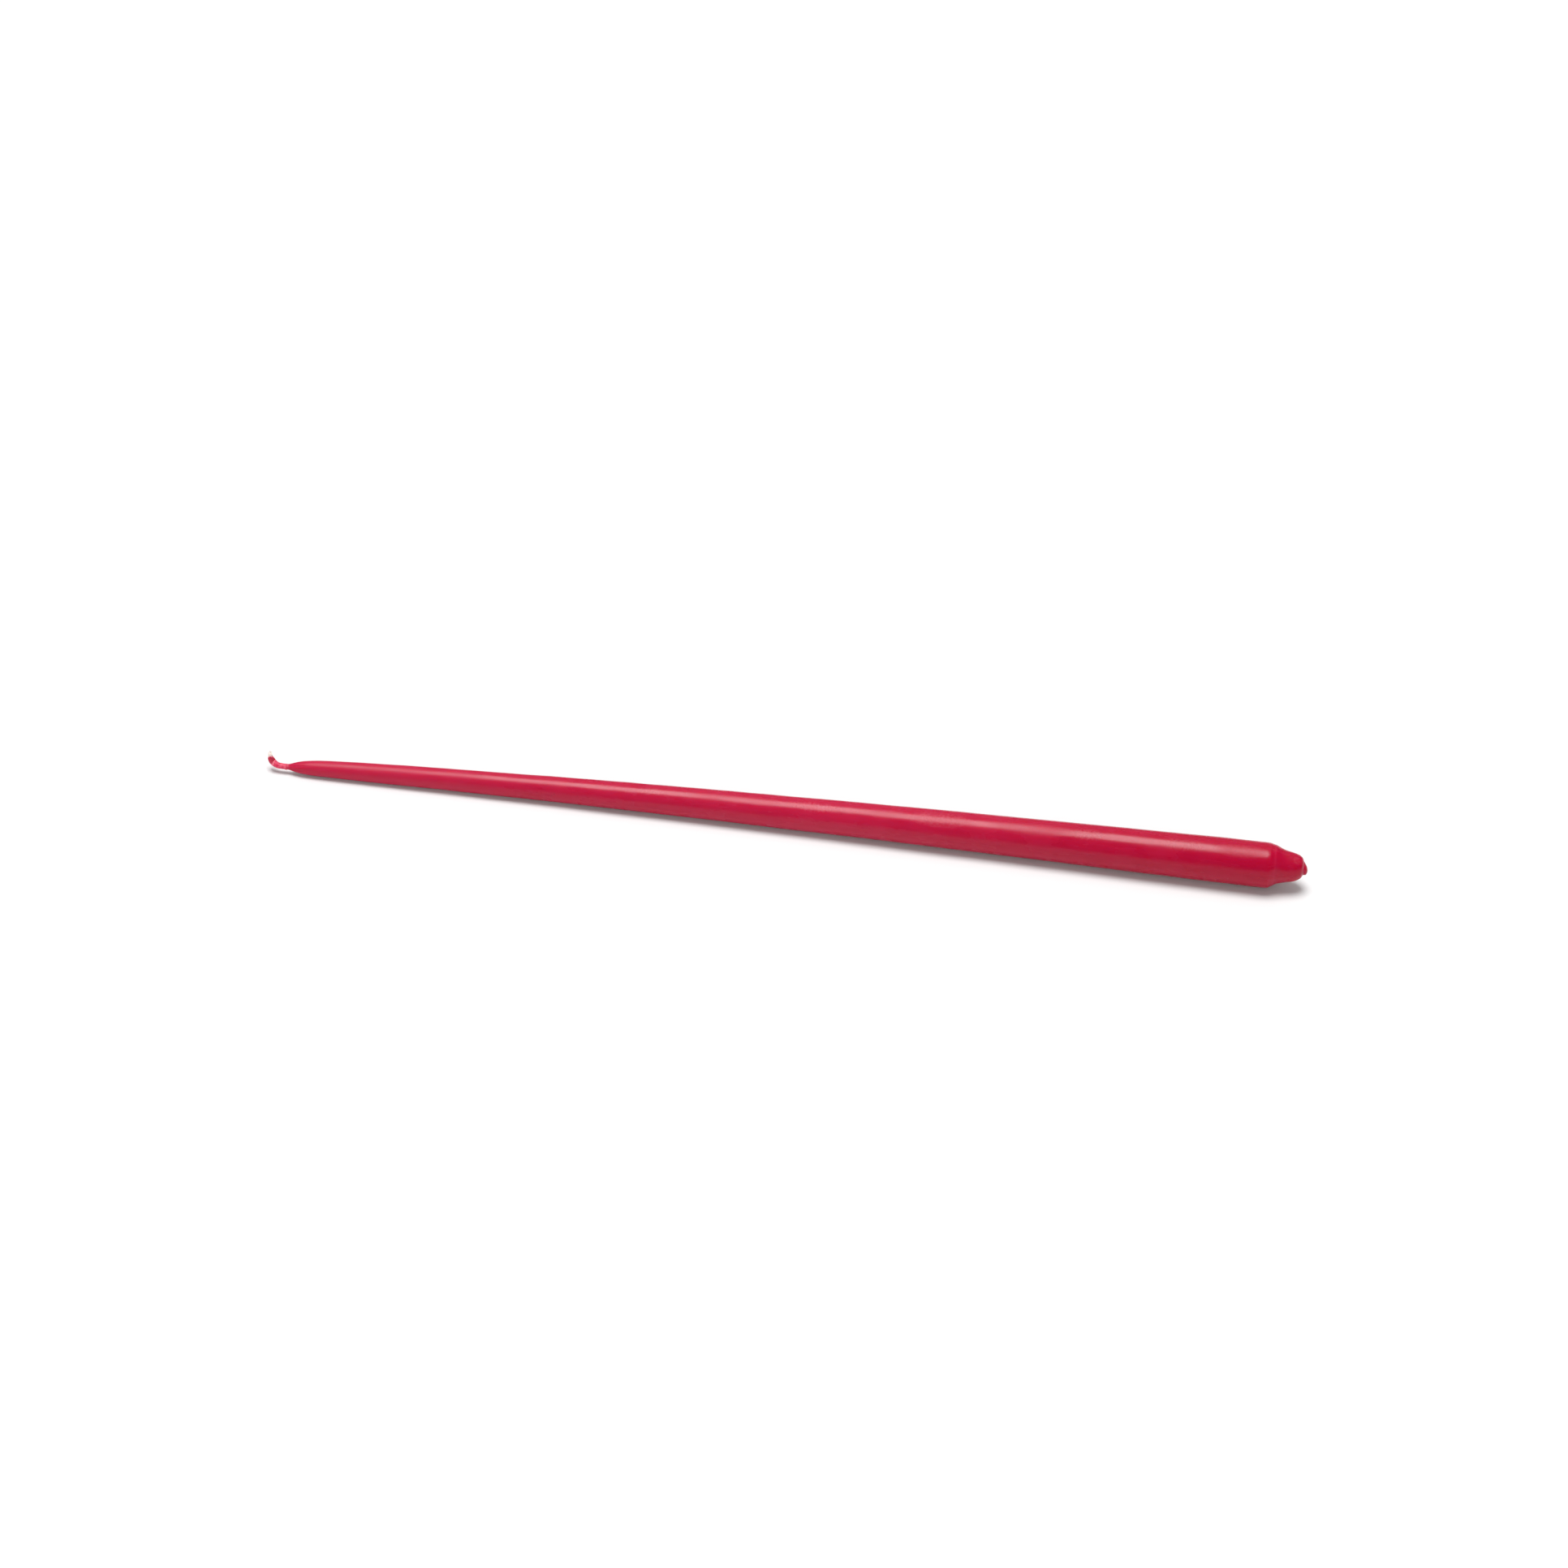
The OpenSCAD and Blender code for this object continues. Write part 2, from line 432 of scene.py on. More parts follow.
class BraidTree(ShapeTree):
    """Plaits yarns over and under each other round the stations of the wick.

    Half of the yarns wind one way and half the other way, as in a round braid.
    """

    title = "braid"
    least_splay = 0.2
    length_seed_step = 5
    inputs = (
        TreeInput("Yarns", "NodeSocketInt", 12),
        TreeInput("Braid Radius", "NodeSocketFloat", 0.52 * MM),
        TreeInput("Over And Under", "NodeSocketFloat", 0.055 * MM),
        TreeInput("Length Of A Turn", "NodeSocketFloat", 3.2 * MM),
        TreeInput("Yarn Radius", "NodeSocketFloat", 0.15 * MM),
        TreeInput("Strands", "NodeSocketInt", 5),
        TreeInput("Strand Depth", "NodeSocketFloat", 0.35),
        TreeInput("Strand Twist", "NodeSocketFloat", 0.8 * MM),
        TreeInput("Shortest Yarn", "NodeSocketFloat", 0.9),
        TreeInput("Splay", "NodeSocketFloat", 0.1 * MM),
        TreeInput("Splay From", "NodeSocketFloat", 0.0),
        TreeInput("Splay To", "NodeSocketFloat", 1.0),
        TreeInput("Seed", "NodeSocketInt", 1),
    )

    def shape(self) -> Socket:
        """Copies the wick's line once for each yarn, winds the copies and sweeps them.

        Returns:
            The yarns, each closed at its ends.
        """
        graph, given = self.graph, self.given
        line = graph.out("GeometryNodeMeshToCurve", None, {"Mesh": given["Geometry"]})
        wanted = {"Geometry": line, "Amount": given["Yarns"]}
        copies = graph.add("GeometryNodeDuplicateElements", {"domain": "SPLINE"}, wanted)
        number = copies.outputs["Duplicate Index"]
        hand = graph.math("SUBTRACT", 1.0, graph.math("MULTIPLY", graph.whole("MODULO", number, 2), 2.0))
        lanes = graph.math("DIVIDE", given["Yarns"], 2.0)
        lane = graph.math("DIVIDE", graph.whole("DIVIDE_FLOOR", number, 2), lanes)
        along = self.attribute(Mark.ALONG)
        turns = graph.math("DIVIDE", along, given["Length Of A Turn"])
        angle = graph.math("MULTIPLY", graph.math("MULTIPLY_ADD", hand, turns, lane), math.tau)
        over = graph.math("MULTIPLY", graph.math("COSINE", graph.math("MULTIPLY", angle, lanes)), hand)
        rise = graph.math("MULTIPLY_ADD", over, given["Over And Under"], given["Braid Radius"])
        splayed = graph.out(
            "ShaderNodeMapRange",
            {"interpolation_type": "SMOOTHSTEP"},
            {0: along, 1: given["Splay From"], 2: given["Splay To"], 3: 0.0, 4: given["Splay"]},
        )
        chance = {2: self.least_splay, 3: 1.0, "ID": number, "Seed": given["Seed"]}
        loose = graph.out("FunctionNodeRandomValue", {"data_type": "FLOAT"}, chance)
        reach = graph.math("MULTIPLY_ADD", splayed, loose, rise)
        sideways = graph.scaled(self.attribute(Mark.SIDE, "FLOAT_VECTOR"), graph.math("COSINE", angle))
        upwards = graph.scaled(self.attribute(Mark.UP, "FLOAT_VECTOR"), graph.math("SINE", angle))
        offset = graph.scaled(graph.vector("ADD", sideways, upwards), reach)
        moved = {"Geometry": copies.outputs["Geometry"], "Offset": offset}
        wound = graph.out("GeometryNodeSetPosition", None, moved)
        twist = graph.math("MULTIPLY", graph.math("DIVIDE", along, given["Strand Twist"]), math.tau)
        twisted = graph.out("GeometryNodeSetCurveTilt", None, {"Curve": wound, "Tilt": twist})
        length_seed = graph.whole("ADD", given["Seed"], self.length_seed_step)
        lengths = {2: given["Shortest Yarn"], 3: 1.0, "ID": number, "Seed": length_seed}
        length = graph.out("FunctionNodeRandomValue", {"data_type": "FLOAT"}, lengths)
        trimmed = graph.out("GeometryNodeTrimCurve", None, {"Curve": twisted, "End": length})
        groove = graph.math("SUBTRACT", 1.0, given["Strand Depth"])
        inner = graph.math("MULTIPLY", given["Yarn Radius"], groove)
        section = {"Points": given["Strands"], "Inner Radius": inner, "Outer Radius": given["Yarn Radius"]}
        lobed = graph.out("GeometryNodeCurveStar", None, section)
        swept = {"Curve": trimmed, "Profile Curve": lobed, "Fill Caps": True}
        return graph.out("GeometryNodeCurveToMesh", None, swept)


class FibreTree(ShapeTree):
    """Stands fine loose fibres on the faces of a source object, all from one fixed seed."""

    title = "fibres"
    elbow = 0.55
    top = 0.9
    inputs = (
        TreeInput("Fibres For A Square Metre", "NodeSocketFloat", 1.0),
        TreeInput("Shortest", "NodeSocketFloat", 0.2 * MM),
        TreeInput("Longest", "NodeSocketFloat", 0.9 * MM),
        TreeInput("Fibre Radius", "NodeSocketFloat", 0.012 * MM),
        TreeInput("Curl", "NodeSocketFloat", 0.35),
        TreeInput("Lean", "NodeSocketFloat", 0.6),
        TreeInput("Bends", "NodeSocketInt", 7),
        TreeInput("Seed", "NodeSocketInt", 1),
    )

    def shape(self) -> Socket:
        """Scatters points and puts a bent hair of length 1, scaled to its own length, on each.

        Returns:
            The hairs.
        """
        graph, given = self.graph, self.given
        sown = {
            "Mesh": given["Geometry"],
            "Density": given["Fibres For A Square Metre"],
            "Seed": given["Seed"],
        }
        scattered = graph.add("GeometryNodeDistributePointsOnFaces", None, sown)
        bent = {
            "Resolution": given["Bends"],
            "Start": (0.0, 0.0, 0.0),
            "Middle": graph.xyz(0.0, 0.0, self.elbow),
            "End": graph.xyz(given["Curl"], 0.0, self.top),
        }
        hair = graph.out("GeometryNodeCurveQuadraticBezier", None, bent)
        thin = graph.math("DIVIDE", given["Fibre Radius"], given["Longest"])
        section = graph.out("GeometryNodeCurvePrimitiveCircle", None, {"Resolution": 4, "Radius": thin})
        swept = {"Curve": hair, "Profile Curve": section, "Fill Caps": True}
        solid = graph.out("GeometryNodeCurveToMesh", None, swept)
        back = graph.math("MULTIPLY", given["Lean"], -1.0)
        least, most = graph.xyz(back, back, -math.pi), graph.xyz(given["Lean"], given["Lean"], math.pi)
        spread = {0: least, 1: most, "Seed": given["Seed"]}
        tilt = graph.out("FunctionNodeRandomValue", {"data_type": "FLOAT_VECTOR"}, spread)
        leaning = graph.out("FunctionNodeEulerToRotation", None, {0: tilt})
        upright = {"Rotation": scattered.outputs["Rotation"], "Rotate By": leaning}
        askew = graph.out("FunctionNodeRotateRotation", {"rotation_space": "LOCAL"}, upright)
        length_seed = graph.whole("ADD", given["Seed"], 1)
        lengths = {2: given["Shortest"], 3: given["Longest"], "Seed": length_seed}
        reach = graph.out("FunctionNodeRandomValue", {"data_type": "FLOAT"}, lengths)
        planted = {
            "Points": scattered.outputs["Points"],
            "Instance": solid,
            "Rotation": askew,
            "Scale": reach,
        }
        return graph.out("GeometryNodeInstanceOnPoints", None, planted)


@dataclass
class Stations:
    """A row of rings: their middles, their two axes, their radii and what they carry."""

    middle: np.ndarray
    side: np.ndarray
    up: np.ndarray
    radius: np.ndarray
    along: np.ndarray
    ripple: np.ndarray
    lumps: np.ndarray

    def source(self, name: str) -> bpy.types.Object:
        """Makes the source that the trees start from, a line with one vertex to a station.

        Args:
            name: the name of the object.

        Returns:
            The object, whose vertices carry the stations' values.
        """
        count = len(self.radius)
        mesh = bpy.data.meshes.new(name)
        mesh.from_pydata(self.middle.tolist(), [(k, k + 1) for k in range(count - 1)], [])
        for mark, values in ((Mark.SIDE, self.side), (Mark.UP, self.up)):
            layer = mesh.attributes.new(mark.value, "FLOAT_VECTOR", "POINT")
            layer.data.foreach_set("vector", values.astype(np.float32).ravel())
        put_mark(mesh, Mark.RADIUS, self.radius)
        put_mark(mesh, Mark.ALONG, self.along)
        put_mark(mesh, Mark.RIPPLE, self.ripple)
        put_mark(mesh, Mark.LUMPS, self.lumps)
        made = bpy.data.objects.new(name, mesh)
        bpy.context.scene.collection.objects.link(made)
        return made


def put_mark(mesh: bpy.types.Mesh, mark: Mark, values: np.ndarray) -> None:
    """Keeps a number on each vertex of a mesh.

    Args:
        mesh: the mesh.
        mark: the name that the numbers go by.
        values: one number for each vertex.
    """
    layer = mesh.attributes.get(mark.value) or mesh.attributes.new(mark.value, "FLOAT", "POINT")
    layer.data.foreach_set("value", np.asarray(values, np.float32))


def vertex_vectors(mesh: bpy.types.Mesh, name: str) -> np.ndarray:
    """Reads a vector of each vertex.

    Args:
        mesh: the mesh.
        name: which vector is read, "co" or "normal".

    Returns:
        The vectors, one to a row.
    """
    values = np.zeros(len(mesh.vertices) * 3, np.float32)
    mesh.vertices.foreach_get(name, values)
    return values.reshape(-1, 3).astype(float)


def get_mark(mesh: bpy.types.Mesh, mark: Mark) -> np.ndarray:
    """Reads the numbers that a mesh carries on its vertices.

    Args:
        mesh: the mesh.
        mark: the name that the numbers go by.

    Returns:
        One number for each vertex.
    """
    values = np.zeros(len(mesh.vertices), np.float32)
    mesh.attributes[mark.value].data.foreach_get("value", values)
    return values.astype(float)


@dataclass(frozen=True)
class CandleForm:
    """The sizes of the candle and the rules of its form.

    They follow those of its solids. The drip's round end, the sag of the neck, the sleeve's mouth
    and the soft edge of the last dip are the scene's own.
    """

    shoulder: Triple
    butt_r: float
    barrel_length: float
    wax_length: float = 293.8 * MM
    tip_d: float = 5.4 * MM
    tip_length: float = 20 * MM
    belly: float = 0.32 * MM
    dip_step: float = 0.03 * MM
    dip_fade: float = 18 * MM
    tip_drift: float = 4.5 * MM
    tip_round: float = 2.9 * MM
    tip_blunt: float = 1.7
    waist_at: float = 4.4 * MM
    waist_d: float = 9.9 * MM
    cone_slope: float = 0.27
    shoulder_reach: float = 1.6 * MM
    nose_length: float = 10.6 * MM
    face_d: float = 4 * MM
    edge_d: float = 8.4 * MM
    edge_depth: float = 0.7 * MM
    drip_length: float = 1.3 * MM
    drip_root_d: float = 2.9 * MM
    drip_end_d: float = 3.1 * MM
    drip_round: float = 0.22 * MM
    wick_d: float = 1.3 * MM
    wick_cover: float = 1.8 * MM
    sleeve_d: float = 1.7 * MM
    bead_d: float = 2 * MM
    wick_straight: float = 2.3 * MM
    hook_radius: float = 3.2 * MM
    hook_turn: float = math.radians(96)
    hook_lean: float = math.radians(55)
    bare_length: float = 1.3 * MM
    mouth_d: float = 1.76 * MM
    mouth_length: float = 1.4 * MM
    neck_sag: float = 0.25 * MM
    probe: float = 0.01 * MM

    @classmethod
    def from_frame(cls, record: dict) -> "CandleForm":
        """Takes the butt's place and size from the record's mount.

        Args:
            record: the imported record.

        Returns:
            The form, with the rest of its sizes as usual.
        """
        butt = record["mounts"][0]
        length = butt["dims"]["length_mm"] * MM
        end = np.array(butt["pos_m"]) + np.array(butt["axis"]) * length / 2
        return cls(tuple(float(v) for v in end), butt["dims"]["r_mm"] * MM, length)

    @property
    def wax_r(self) -> float:
        """Radius of the taper where it meets the butt."""
        return self.butt_r - self.dip_step

    @property
    def nose_total(self) -> float:
        """Length of the nose with its drip."""
        return self.nose_length + self.drip_length

    @property
    def neck_t(self) -> float:
        """Distance from the shoulder to the neck."""
        return self.wax_length - self.nose_total

    @property
    def hook_length(self) -> float:
        """Length of the bend of the wick."""
        return self.hook_radius * self.hook_turn

    @property
    def wick_out(self) -> float:
        """Length of wick outside the neck."""
        return self.wick_straight + self.hook_length

    @property
    def sleeve_length(self) -> float:
        """Length of the wax sleeve on the wick."""
        return self.wick_out - self.bare_length

    @property
    def curl(self) -> np.ndarray:
        """Direction that the wick curls to."""
        return np.array([0, math.cos(self.hook_lean), math.sin(self.hook_lean)])

    @property
    def bend_normal(self) -> np.ndarray:
        """Direction square to the plane of the bend, towards the front."""
        return np.array([0, -math.sin(self.hook_lean), math.cos(self.hook_lean)])

    def taper_r(self, t: np.ndarray) -> np.ndarray:
        """Returns the radius of the long taper, without the rounding of its tip."""
        share = (t - self.barrel_length) / (self.neck_t - self.tip_length - self.barrel_length)
        return self.wax_r - (self.wax_r - self.tip_d / 2) * share + 2 * self.belly * share * (1 - share)

    @property
    def taper_slope(self) -> float:
        """Fall of the taper's radius for each metre, at the butt."""
        near, far = self.taper_r(np.array([self.barrel_length, self.barrel_length + self.probe]))
        return float(near - far) / self.probe

    def axis_at(self, t: np.ndarray) -> np.ndarray:
        """Finds the middle line of the wax.

        Args:
            t: distances from the shoulder towards the wick.

        Returns:
            The points, one to a row.
        """
        t = np.asarray(t, float)
        fade = np.clip(1 - (t - self.barrel_length) / self.dip_fade, 0, 1)
        on_taper = self.taper_r(t) + self.dip_step * fade
        on_butt = self.butt_r + self.taper_slope * (self.barrel_length - t)
        height = np.where(t > self.barrel_length, on_taper, on_butt)
        drift = -self.tip_drift * (np.maximum(t, 0) / self.neck_t) ** 3
        sag = self.neck_sag * ease(t, self.neck_t - self.tip_length / 2, self.neck_t)
        return np.stack([self.shoulder[0] - t, drift, height], axis=-1) - sag[:, None] * self.curl

    def axis_dir(self, t: np.ndarray) -> np.ndarray:
        """Returns the directions of the middle line towards the wick, one to a row."""
        return unit(self.axis_at(t + self.probe) - self.axis_at(t - self.probe))

    def wax_r_at(self, t: np.ndarray) -> np.ndarray:
        """Finds the radius of the wax above the shoulder, rounded over to the neck.

        Args:
            t: distances from the shoulder towards the wick.

        Returns:
            The radius at each.
        """
        q = (np.maximum(self.neck_t - t, 0) / self.tip_round) ** self.tip_blunt
        last_dip = self.dip_step * (1 - ease(t, self.barrel_length, self.barrel_length + self.dip_fade))
        full = np.where(t > self.barrel_length, self.taper_r(t), self.wax_r) + last_dip
        return self.sleeve_d / 2 + (full - self.sleeve_d / 2) * q / (1 + q)

    def nose_outline(self, steps: int) -> np.ndarray:
        """Half outline of the nose.

        Args:
            steps: the number of points on each of its curves.

        Returns:
            Rows of distance below the shoulder and radius, from the shoulder to the drip's end.
        """
        waist_r, hold = self.waist_d / 2, (self.nose_length - self.waist_at) / 2
        shoulder = [
            (0, self.butt_r),
            (self.shoulder_reach, self.butt_r),
            (self.waist_at - self.shoulder_reach, waist_r + self.cone_slope * self.shoulder_reach),
            (self.waist_at, waist_r),
        ]
        cone = [
            (self.waist_at, waist_r),
            (self.waist_at + hold, waist_r - self.cone_slope * hold),
            (self.nose_length - self.edge_depth, self.edge_d / 2),
            (self.nose_length, self.face_d / 2),
        ]
        drip = [
            (self.nose_length, self.face_d / 2),
            (self.nose_length + self.drip_length / 3, self.drip_root_d / 2),
            (self.nose_total - self.drip_round, self.drip_end_d / 2),
            (self.nose_total, 0),
        ]
        return np.concatenate([bezier(curve, steps) for curve in (shoulder, cone, drip)])

    def hook_frame(self) -> tuple[np.ndarray, np.ndarray, np.ndarray]:
        """Finds how the bend of the wick lies.

        Returns:
            The wick's direction at the neck, the normal of its bend and the way it curls.
        """
        start = self.axis_dir(np.array([self.neck_t]))[0]
        normal = unit(self.bend_normal - (self.bend_normal @ start) * start)
        return start, normal, np.cross(start, normal)

    def hook_at(self, s: np.ndarray) -> np.ndarray:
        """Finds the middle line of the wick outside the neck.

        Args:
            s: distances from the neck.

        Returns:
            The points, one to a row.
        """
        start, _, curl = self.hook_frame()
        turn = (np.maximum(s - self.wick_straight, 0) / self.hook_radius)[:, None]
        straight = np.minimum(s, self.wick_straight)[:, None] * start
        bend = self.hook_radius * (np.sin(turn) * start + (1 - np.cos(turn)) * curl)
        rise = self.neck_sag * ease(s, 0, self.wick_straight + self.hook_length / 2)[:, None] * curl
        return self.axis_at(np.array([self.neck_t])) + straight + bend + rise

    def hook_dir(self, s: np.ndarray) -> np.ndarray:
        """Finds the directions of the wick outside the neck.

        Args:
            s: distances from the neck.

        Returns:
            The directions, one to a row.
        """
        start, _, curl = self.hook_frame()
        turn = (np.maximum(s - self.wick_straight, 0) / self.hook_radius)[:, None]
        return np.cos(turn) * start + np.sin(turn) * curl

    def sleeve_r_at(self, s: np.ndarray) -> np.ndarray:
        """Finds the radius of the wax sleeve on the wick.

        Args:
            s: distances from the neck.

        Returns:
            The radius at each.
        """
        swell = bell(s, self.wick_straight + self.hook_length / 2, self.hook_length / 3)
        full = self.sleeve_d / 2 + (self.bead_d - self.sleeve_d) / 2 * swell
        narrow = ease(s, self.sleeve_length - self.mouth_length, self.sleeve_length)
        return full + (self.mouth_d / 2 - full) * narrow

    def ring_axes(self, direction: np.ndarray) -> tuple[np.ndarray, np.ndarray]:
        """Two axes of each ring.

        Args:
            direction: the directions of the middle line.

        Returns:
            The axis towards the front, and the axis towards the side that the wick curls to.
        """
        lean = direction @ self.bend_normal
        side = unit(self.bend_normal - lean[:, None] * direction)
        return side, np.cross(direction, side)


@dataclass(frozen=True)
class Pattern:
    """A pattern of noise: its patches in a metre, its finer layers, and how it is drawn out."""

    scale: float
    detail: float = 2.0
    roughness: float = 0.5
    drawn: Triple | None = None

    def read(self, graph: Graph, place: Socket) -> Socket:
        """Reads the pattern.

        Args:
            graph: the material's tree.
            place: where it is read. What draws the pattern out is multiplied with it.

        Returns:
            The pattern at each place, from 0 to 1.
        """
        if self.drawn is not None:
            place = graph.vector("MULTIPLY", place, self.drawn)
        return graph.noise(place, self.scale, self.detail, self.roughness)


@dataclass(frozen=True)
class WaxFinish:
    """Dyed dipped wax: satin, faintly cloudy, scuffed in places, and lit from inside near its surface."""

    deep: Triple = (0.325, 0.0022, 0.025)
    rose: Triple = (0.62, 0.045, 0.13)
    frost: Triple = (0.9, 0.42, 0.5)
    dark: Triple = (0.1, 0.004, 0.012)
    cloud: Pattern = Pattern(110, 3.0, 0.55)
    lines: Pattern = Pattern(1600, 2.0, 0.6, (0.06, 1.0, 1.0))
    grain: Pattern = Pattern(1700)
    pits: Pattern = Pattern(1300, 2.0, 0.55)
    spots: Pattern = Pattern(1100)
    scratches: Pattern = Pattern(2200, drawn=(0.25, 1.0, 1.0))
    scratch_slant: float = 0.5
    wiped: Pattern = Pattern(450, drawn=(0.15, 1.0, 1.0))
    pit_span: Span = (0.38, 0.62)
    spot_span: Span = (0.38, 0.72)
    gloss_span: Span = (0.38, 0.62)
    cloud_gloss: float = 0.45
    wiped_gloss: float = 0.55
    line_tint: float = 0.12
    cloud_tint: float = 0.14
    dust: float = 0.5
    dust_scale: float = 230.0
    dust_span: Span = (0.02, 0.06)
    glow: float = 0.9
    glow_depth: float = 1.6 * MM
    glow_colour: Triple = (1.0, 0.12, 0.2)
    density: float = 1.43
    mirror: float = 0.28
    sheen_low: float = 0.22
    sheen_high: float = 0.31
    scuff_sheen: float = 0.06
    scuff_and_highlight_pale: float = 0.06
    dullness: float = 0.17
    lines_mm: float = 0.0018
    grain_mm: float = 0.003
    scuff_mm: float = 0.02
    scratch_mm: float = 0.01
    mottle: float = 0.2

    def material(self) -> bpy.types.Material:
        """Builds the wax's material, whose nodes read the vertices' marks and places on the object.

        Returns:
            The material.
        """
        made = bpy.data.materials.new("dipped_wax")
        made.use_nodes = True
        graph = Graph(made.node_tree)
        shader = made.node_tree.nodes["Principled BSDF"]
        place = graph.add("ShaderNodeTexCoord").outputs["Object"]
        cloud = self.cloud.read(graph, place)
        lines = self.lines.read(graph, place)
        grain = self.grain.read(graph, place)
        pits = self.pits.read(graph, place)
        lean = {"Vector": place, "Angle": self.scratch_slant}
        slanted = graph.out("ShaderNodeVectorRotate", {"rotation_type": "Y_AXIS"}, lean)
        scratches = self.scratches.read(graph, slanted)
        scuff = graph.mark(Mark.SCUFF)
        worn = graph.math("MULTIPLY", scuff, graph.ramp(pits, *self.pit_span, 0.0, 1.0))
        spots = graph.ramp(self.spots.read(graph, place), *self.spot_span, 0.0, self.mottle)
        # Pale wear and sleeve spots; on the corner of the nose the pale grain is a painted highlight.
        pale_marks_and_highlight = graph.math("MULTIPLY", worn, self.scuff_and_highlight_pale)
        pale_marks_and_highlight = graph.math("MULTIPLY_ADD", spots, graph.mark(Mark.SLEEVE), pale_marks_and_highlight)
        # The share of pink is partly painted light: a glow towards the tip, a lighter middle and a highlight
        # at the drip's base.
        body = graph.blend(self.tinted(graph, lines, cloud), self.deep, self.rose)
        body = graph.blend(graph.ramp(graph.mark(Mark.ROSE), -1.0, 0.0, 1.0, 0.0), body, self.dark)
        colour = graph.blend(graph.math("MAXIMUM", pale_marks_and_highlight, graph.mark(Mark.FROST)), body, self.frost)
        cells = graph.add("ShaderNodeTexVoronoi", None, {"Vector": place, "Scale": self.dust_scale})
        dust = graph.ramp(cells.outputs["Distance"], *self.dust_span, self.dust, 0.0)
        colour = graph.blend(dust, colour, self.dark)
        graph.tree.links.new(colour, shader.inputs["Base Color"])
        wiped = graph.math("MULTIPLY", self.wiped.read(graph, place), self.wiped_gloss)
        gloss = graph.math("MULTIPLY_ADD", cloud, self.cloud_gloss, wiped)
        rough = graph.ramp(gloss, *self.gloss_span, self.sheen_low, self.sheen_high)
        rough = graph.math("MULTIPLY_ADD", worn, self.scuff_sheen, rough)
        rough = graph.math("MULTIPLY_ADD", graph.mark(Mark.DULL), self.dullness, rough)
        graph.tree.links.new(rough, shader.inputs["Roughness"])
        pitted = graph.math("MULTIPLY", pits, scuff)
        scratched = graph.math("MULTIPLY", scratches, scuff)
        relief = graph.math("MULTIPLY", lines, self.lines_mm)
        relief = graph.math("MULTIPLY_ADD", grain, self.grain_mm, relief)
        relief = graph.math("MULTIPLY_ADD", pitted, self.scuff_mm, relief)
        relief = graph.math("MULTIPLY_ADD", scratched, self.scratch_mm, relief)
        bump = {"Strength": 1.0, "Distance": MM, "Height": relief}
        graph.tree.links.new(graph.out("ShaderNodeBump", None, bump), shader.inputs["Normal"])
        shader.inputs["IOR"].default_value = self.density
        shader.inputs["Specular IOR Level"].default_value = self.mirror
        shader.inputs["Subsurface Weight"].default_value = self.glow
        shader.inputs["Subsurface Radius"].default_value = self.glow_colour
        shader.inputs["Subsurface Scale"].default_value = self.glow_depth
        return made

    def tinted(self, graph: Graph, lines: Socket, cloud: Socket) -> Socket:
        """Finds how far the colour moves towards pink: the mesh's own value, which holds painted light, made
        uneven by two patterns.

        Args:
            graph: the material's tree.
            lines: the pattern of fine lines along the candle.
            cloud: the pattern of soft clouds.

        Returns:
            The share of pink at each place.
        """
        fine = graph.math("SUBTRACT", lines, 0.5)
        broad = graph.math("SUBTRACT", cloud, 0.5)
        uneven = graph.math("MULTIPLY_ADD", fine, self.line_tint, graph.mark(Mark.ROSE))
        return graph.math("MULTIPLY_ADD", broad, self.cloud_tint, uneven)


@dataclass(frozen=True)
class CottonFinish:
    """Bleached cotton yarn, white at the cut and stained by wax further down."""

    white: Triple = (0.88, 0.74, 0.69)
    stained: Triple = (0.78, 0.17, 0.26)
    fibre: Pattern = Pattern(9000, 2.0, 0.6, (1.0, 0.35, 0.35))
    cloud: Pattern = Pattern(1600)
    uneven: float = 0.5
    specks: float = 0.22
    speck_span: Span = (0.5, 0.75)
    fibre_span: Span = (0.3, 0.7)
    sheen_low: float = 0.7
    sheen_high: float = 0.9
    fuzz: float = 0.4
    grain: float = 0.01 * MM
    glow: float = 0.5
    glow_depth: float = 0.3 * MM

    def material(self) -> bpy.types.Material:
        """Builds the cotton's material, whose nodes read how far wax has soaked in.

        Returns:
            The material.
        """
        made = bpy.data.materials.new("braided_cotton")
        made.use_nodes = True
        graph = Graph(made.node_tree)
        shader = made.node_tree.nodes["Principled BSDF"]
        place = graph.add("ShaderNodeTexCoord").outputs["Object"]
        fibre = self.fibre.read(graph, place)
        cloud = self.cloud.read(graph, place)
        soak = graph.mark(Mark.SOAK)
        stain = graph.math("MULTIPLY_ADD", graph.math("SUBTRACT", cloud, 0.5), self.uneven, soak)
        specks = graph.ramp(cloud, *self.speck_span, 0.0, self.specks)
        tint = graph.math("MAXIMUM", stain, specks)
        graph.tree.links.new(graph.blend(tint, self.white, self.stained), shader.inputs["Base Color"])
        rough = graph.ramp(fibre, *self.fibre_span, self.sheen_low, self.sheen_high)
        graph.tree.links.new(rough, shader.inputs["Roughness"])
        bump = {"Strength": 1.0, "Distance": self.grain, "Height": fibre}
        graph.tree.links.new(graph.out("ShaderNodeBump", None, bump), shader.inputs["Normal"])
        shader.inputs["Sheen Weight"].default_value = self.fuzz
        shader.inputs["Subsurface Weight"].default_value = self.glow
        shader.inputs["Subsurface Scale"].default_value = self.glow_depth
        return made


@dataclass(frozen=True)
class Dab:
    """A small round drop of wax on the sleeve: where it sits, its height, its reach and how pale it is."""

    along: float
    angle: float
    height: float
    reach: float
    frost: float = 0.0


